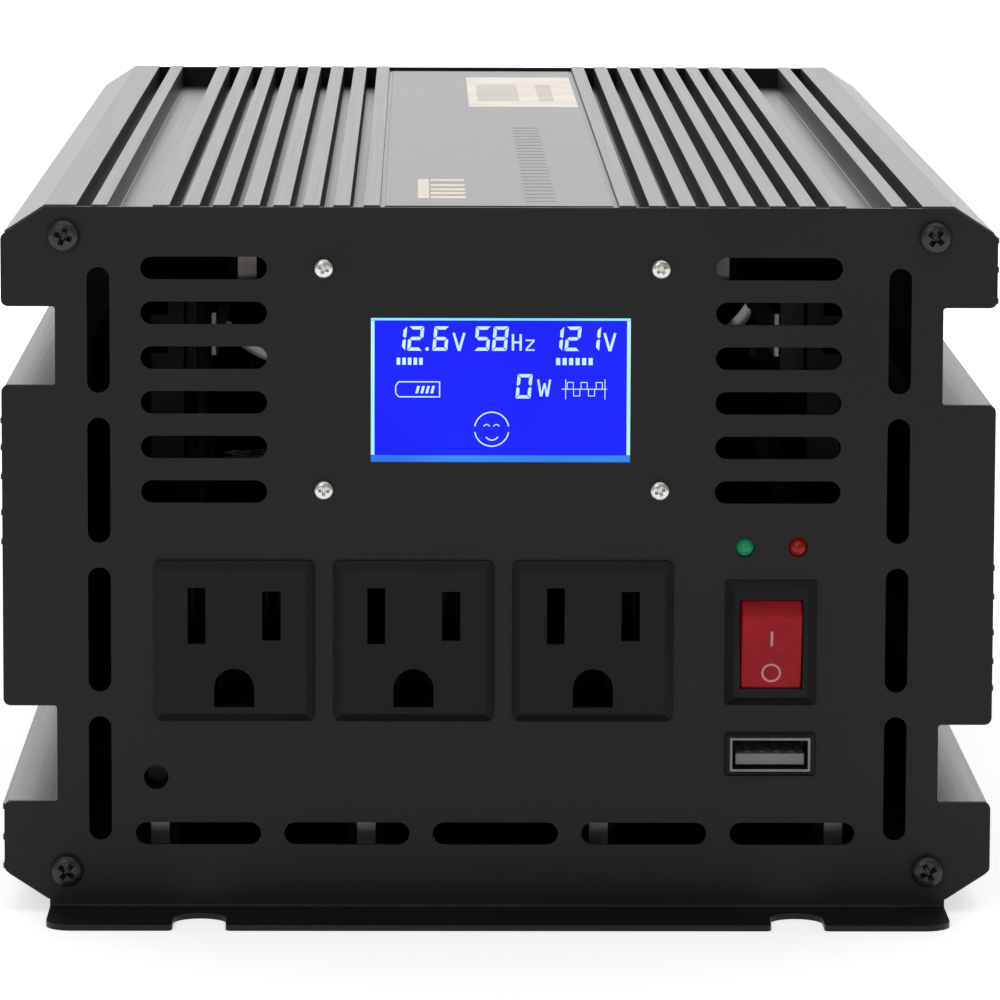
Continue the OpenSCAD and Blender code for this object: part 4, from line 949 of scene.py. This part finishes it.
def fan_blade(root, tip):
    """One blade along +Z whose fan turns about Y."""
    rings = []
    for i in range(9):
        share = i / 8
        radius = root + (tip - root) * share
        pitch = math.radians(34 - 16 * share)
        chord = (18.0 + 15.0 * share) * MM
        lean = math.radians(16) * share
        ring = []
        for j in range(20):
            around = 2 * math.pi * j / 20
            along = math.cos(around) * chord / 2
            thick = math.sin(around) * (0.75 - 0.2 * share) * MM
            camber = 1.6 * MM * (1 - (2 * along / chord) ** 2)
            x = along * math.cos(pitch) - (thick + camber) * math.sin(pitch)
            y = along * math.sin(pitch) + (thick + camber) * math.cos(pitch) - 0.8 * MM
            angle = lean + x / radius
            ring.append(Vector((radius * math.sin(angle), y, radius * math.cos(angle))))
        rings.append(ring)
    return skin("fan_blade", rings)


def fan_hub(radius, start, end):
    """A hub cap along Y with a rounded front edge."""
    profile = [(0.02 * MM, start), (radius - 1.6 * MM, start),
               (radius - 0.5 * MM, start + 0.5 * MM),
               (radius, start + 1.6 * MM), (radius, end), (0.02 * MM, end)]
    return skin("fan_hub", [[Vector((r * math.sin(a), y, r * math.cos(a)))
                             for a in (2 * math.pi * k / 48 for k in range(48))]
                            for r, y in profile])


for side in ("left", "right"):
    node, body = f"fan_{side}_rotor", f"fan_{side}"
    low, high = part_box(node)
    hinge = Vector(FAN_JOINTS[body]["pos_m"])
    reach = (high.x - low.x) / 2 - 0.1 * MM
    middle = hinge.copy()
    middle.y = (low.y + high.y) / 2 - 2.0 * MM
    blade = fan_blade(12.3 * MM, min(reach, 27.2 * MM))
    blades = in_row(f"fan_{side}_blades", blade, 7, middle, (0, 0, 0), (0, 2 * math.pi, 0),
                    BLACK_MOULDED)
    settle(smooth_by_angle(blades, 50), BLACK_MOULDED, "black_plastic", body)
    hub = fan_hub(12.8 * MM, low.y, high.y - 5 * MM)
    hub.data.transform(Matrix.Translation((hinge.x, 0, hinge.z)))
    hub.name = f"fan_{side}_hub"
    settle(smooth_by_angle(hub, 30), BLACK_MOULDED, "black_plastic", body, node)
    away(blade)
    print(node, "reach", round(reach / MM, 2), "y", round(low.y / MM, 1), round(high.y / MM, 1))

# %% [markdown]
# ## Wound parts
# The transformers' windings are stacks of flat loops and the filter coils' turns stand
# round their ring cores. Both come from the row tree.

# %% Transformer windings


def flat_loop(half_x, half_y, corner, width, height):
    """A rounded rectangular loop of a flattened section, lying in the x-y plane."""
    rings = []
    for quarter, (sx, sy) in enumerate(((1, 1), (-1, 1), (-1, -1), (1, -1))):
        for step in range(7):
            angle = math.radians(90 * quarter + 15 * step)
            out = Vector((math.cos(angle), math.sin(angle), 0))
            middle = Vector((sx * (half_x - corner), sy * (half_y - corner), 0)) + out * (
                corner - width / 2)
            ring = []
            for k in range(8):
                turn = math.radians(22.5 + 45 * k)
                ring.append(middle + out * (width / 2 * math.cos(turn))
                            + Vector((0, 0, height / 2 * math.sin(turn))))
            rings.append(ring)
    return skin("loop", rings, True)


TURNS = 14
coils = []
for number, (low, high) in enumerate(islands("transformer_windings")):
    pitch = (high.z - low.z) / TURNS
    loop = flat_loop((high.x - low.x) / 2, (high.y - low.y) / 2, 3 * MM, 1.9 * MM, pitch * 0.98)
    coil = in_row(f"transformer_coil_{number + 1}", loop, TURNS,
                  ((low.x + high.x) / 2, (low.y + high.y) / 2, low.z + pitch / 2),
                  (0, 0, pitch), (0, 0, 0), WIRE_COPPER)
    coils.append(settle(smooth_by_angle(coil, 60), WIRE_COPPER, "copper", "root"))
    away(loop)
for coil in coils:
    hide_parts("transformer_windings")
print("transformer coils:", len(coils))

# %% Filter coils


def wire_loop(half, wire):
    """A round loop of wire standing in the x-z plane at +X."""
    rings = []
    for k in range(28):
        angle = 2 * math.pi * k / 28
        out = Vector((math.cos(angle), 0, math.sin(angle)))
        rings.append([out * half + out * (wire * math.cos(t)) + Vector((0, wire * math.sin(t), 0))
                      for t in (2 * math.pi * j / 8 for j in range(8))])
    return skin("wire_loop", rings, True)


for number, (low, high) in enumerate(islands("filter_coil")):
    middle = (low + high) / 2
    section = (high.z - low.z) / 2
    ring_r = (high.x - low.x) / 2 - section
    loop = wire_loop(section - 0.55 * MM, 0.5 * MM)
    loop.data.transform(Matrix.Translation((ring_r, 0, 0)))
    turns = in_row(f"filter_turns_{number + 1}", loop, 52, middle, (0, 0, 0),
                   (0, 0, 2 * math.pi), WIRE_COPPER)
    settle(smooth_by_angle(turns, 60), WIRE_COPPER, "copper", "root", "filter_coil")
    core = skin(f"filter_core_{number + 1}", [
        [middle + Vector((math.cos(a) * (ring_r + (section - 1.15 * MM) * math.cos(t)),
                          math.sin(a) * (ring_r + (section - 1.15 * MM) * math.cos(t)),
                          (section - 1.15 * MM) * math.sin(t)))
         for t in (2 * math.pi * j / 16 for j in range(16))]
        for a in (2 * math.pi * k / 48 for k in range(48))], True)
    settle(smooth_by_angle(core, 60), FERRITE, "ferrite", "root", "filter_coil")
    away(loop)
print("filter coils wound")

# %% [markdown]
# ## The rest of the inside
# Parts that need no more than soft edges get rounded copies. What is left keeps its CAD
# shape and takes a finish.

# %% Rounded parts inside
INSIDE_EDGES = [
    ("transformer_cores", FERRITE, 0.5, "ferrite"),
    ("input_capacitors", INPUT_SLEEVE, 0.8, "capacitor"),
    ("bus_capacitors", BUS_SLEEVE, 1.0, "capacitor"),
    ("battery_fuses", FUSE, 0.35, "fuse"),
    ("transistors", EPOXY, 0.25, "epoxy"),
    ("transistor_clamps", STEEL, 0.3, "steel"),
    ("alarm_buzzer", BUZZER, 0.5, "epoxy"),
]
for node, finish, radius, slot in INSIDE_EDGES:
    piece = rounded(node, finish, radius)
    print(f"{node}: {len(piece.data.polygons)} faces")

# %% CAD parts that take a finish


def dress(node, finish):
    """Gives a CAD node a finish and leaves its shape alone."""
    materials = frame["nodes"][node].data.materials
    materials.clear()
    materials.append(finish)


for node, finish in (
        ("lcd_light_guide", CLEAR), ("lcd_board", BOARD), ("lcd_spacers", NICKEL),
        ("usb_shell", DARK_STEEL), ("outlet_contacts", DARK_BRONZE),
        ("switch_tabs", BRASS), ("usb_board", BOARD),
        ("led_green", LAMP_GREEN), ("led_red", LAMP_RED), ("led_board", BOARD),
        ("main_board", BOARD), ("output_board", BOARD), ("board_standoffs", SPACER),
        ("fan_guards", NICKEL), ("terminal_studs", BRASS), ("outlet_wires", WIRE_BLACK),
        ("fan_wires", WIRE_RED), ("display_cable", RIBBON)):
    dress(node, finish)
shown = [name for name, obj in frame["nodes"].items() if not obj.hide_render]
print("CAD nodes shown as they are:", len(shown))

# %% [markdown]
# ## Floor and light
# A pale seamless floor and a white surround, as in a product tent. The surround itself gives
# little light, so black stays black. A wide bright sheet behind the object gives the long
# grazing reflection that the ribbed top shows. The floor gives off some light of its own, so
# the broad lamp above can stay weak and leave the black plastic black.

# %% Floor
FLOOR_HALF = 6.0
FLOOR_DROP = 0.02 * MM
FLOOR_GLOW = 0.55


def pale_floor():
    """A wide pale sheet under the feet."""
    mesh = bpy.data.meshes.new("floor")
    corners = [(sx * FLOOR_HALF, sy * FLOOR_HALF, -FLOOR_DROP)
               for sx, sy in ((-1, -1), (1, -1), (1, 1), (-1, 1))]
    mesh.from_pydata(corners, [], [(0, 1, 2, 3)])
    floor = bpy.data.objects.new("floor", mesh)
    bpy.context.scene.collection.objects.link(floor)
    material, tree, shader = new_finish("floor_paper", (0.9, 0.9, 0.9), 0.7)
    tree.links.new(tint(tree, noise(tree, 3, 2), (0.89, 0.89, 0.89), (0.91, 0.91, 0.91)),
                   shader.inputs["Base Color"])
    shader.inputs["Emission Color"].default_value = (1, 1, 1, 1)
    shader.inputs["Emission Strength"].default_value = FLOOR_GLOW
    mesh.materials.append(material)
    return floor


pale_floor()

# %% Lamps and surround


def lamp(name, place, aim, width, height, watts, colour=(1, 1, 1)):
    """A rectangular area lamp at a place, facing a point."""
    data = bpy.data.lights.new(name, "AREA")
    data.shape = "RECTANGLE"
    data.size = width
    data.size_y = height
    data.energy = watts
    data.color = colour
    obj = bpy.data.objects.new(name, data)
    bpy.context.scene.collection.objects.link(obj)
    obj.location = place
    obj.rotation_euler = (Vector(aim) - Vector(place)).to_track_quat("-Z", "Y").to_euler()
    return obj


def surround(dim):
    """A world that looks white to the eye and gives only a dim even light."""
    world = bpy.data.worlds.new("surround")
    bpy.context.scene.world = world
    world.use_nodes = True
    tree = world.node_tree
    tree.nodes.clear()
    output = tree.nodes.new("ShaderNodeOutputWorld")
    seen = tree.nodes.new("ShaderNodeBackground")
    even = tree.nodes.new("ShaderNodeBackground")
    even.inputs["Strength"].default_value = dim
    even.inputs["Color"].default_value = (1, 1, 1, 1)
    seen.inputs["Color"].default_value = (1, 1, 1, 1)
    rays = tree.nodes.new("ShaderNodeLightPath")
    mix = tree.nodes.new("ShaderNodeMixShader")
    tree.links.new(rays.outputs["Is Camera Ray"], mix.inputs["Fac"])
    tree.links.new(even.outputs["Background"], mix.inputs[1])
    tree.links.new(seen.outputs["Background"], mix.inputs[2])
    tree.links.new(mix.outputs["Shader"], output.inputs["Surface"])


surround(0.3)
MIDDLE = (0, 0, 60 * MM)
lamp("back_sheet", (0, 2.3, 1.0), (0, 0, 0.1), 6.0, 2.2, 50)
lamp("top_soft", (0, -0.1, 2.4), MIDDLE, 3.0, 3.0, 21)
lamp("front_soft", (-0.5, -1.6, 0.9), MIDDLE, 0.6, 0.6, 3)
bpy.context.scene.view_settings.view_transform = "Standard"
print("floor, surround and three lamps")
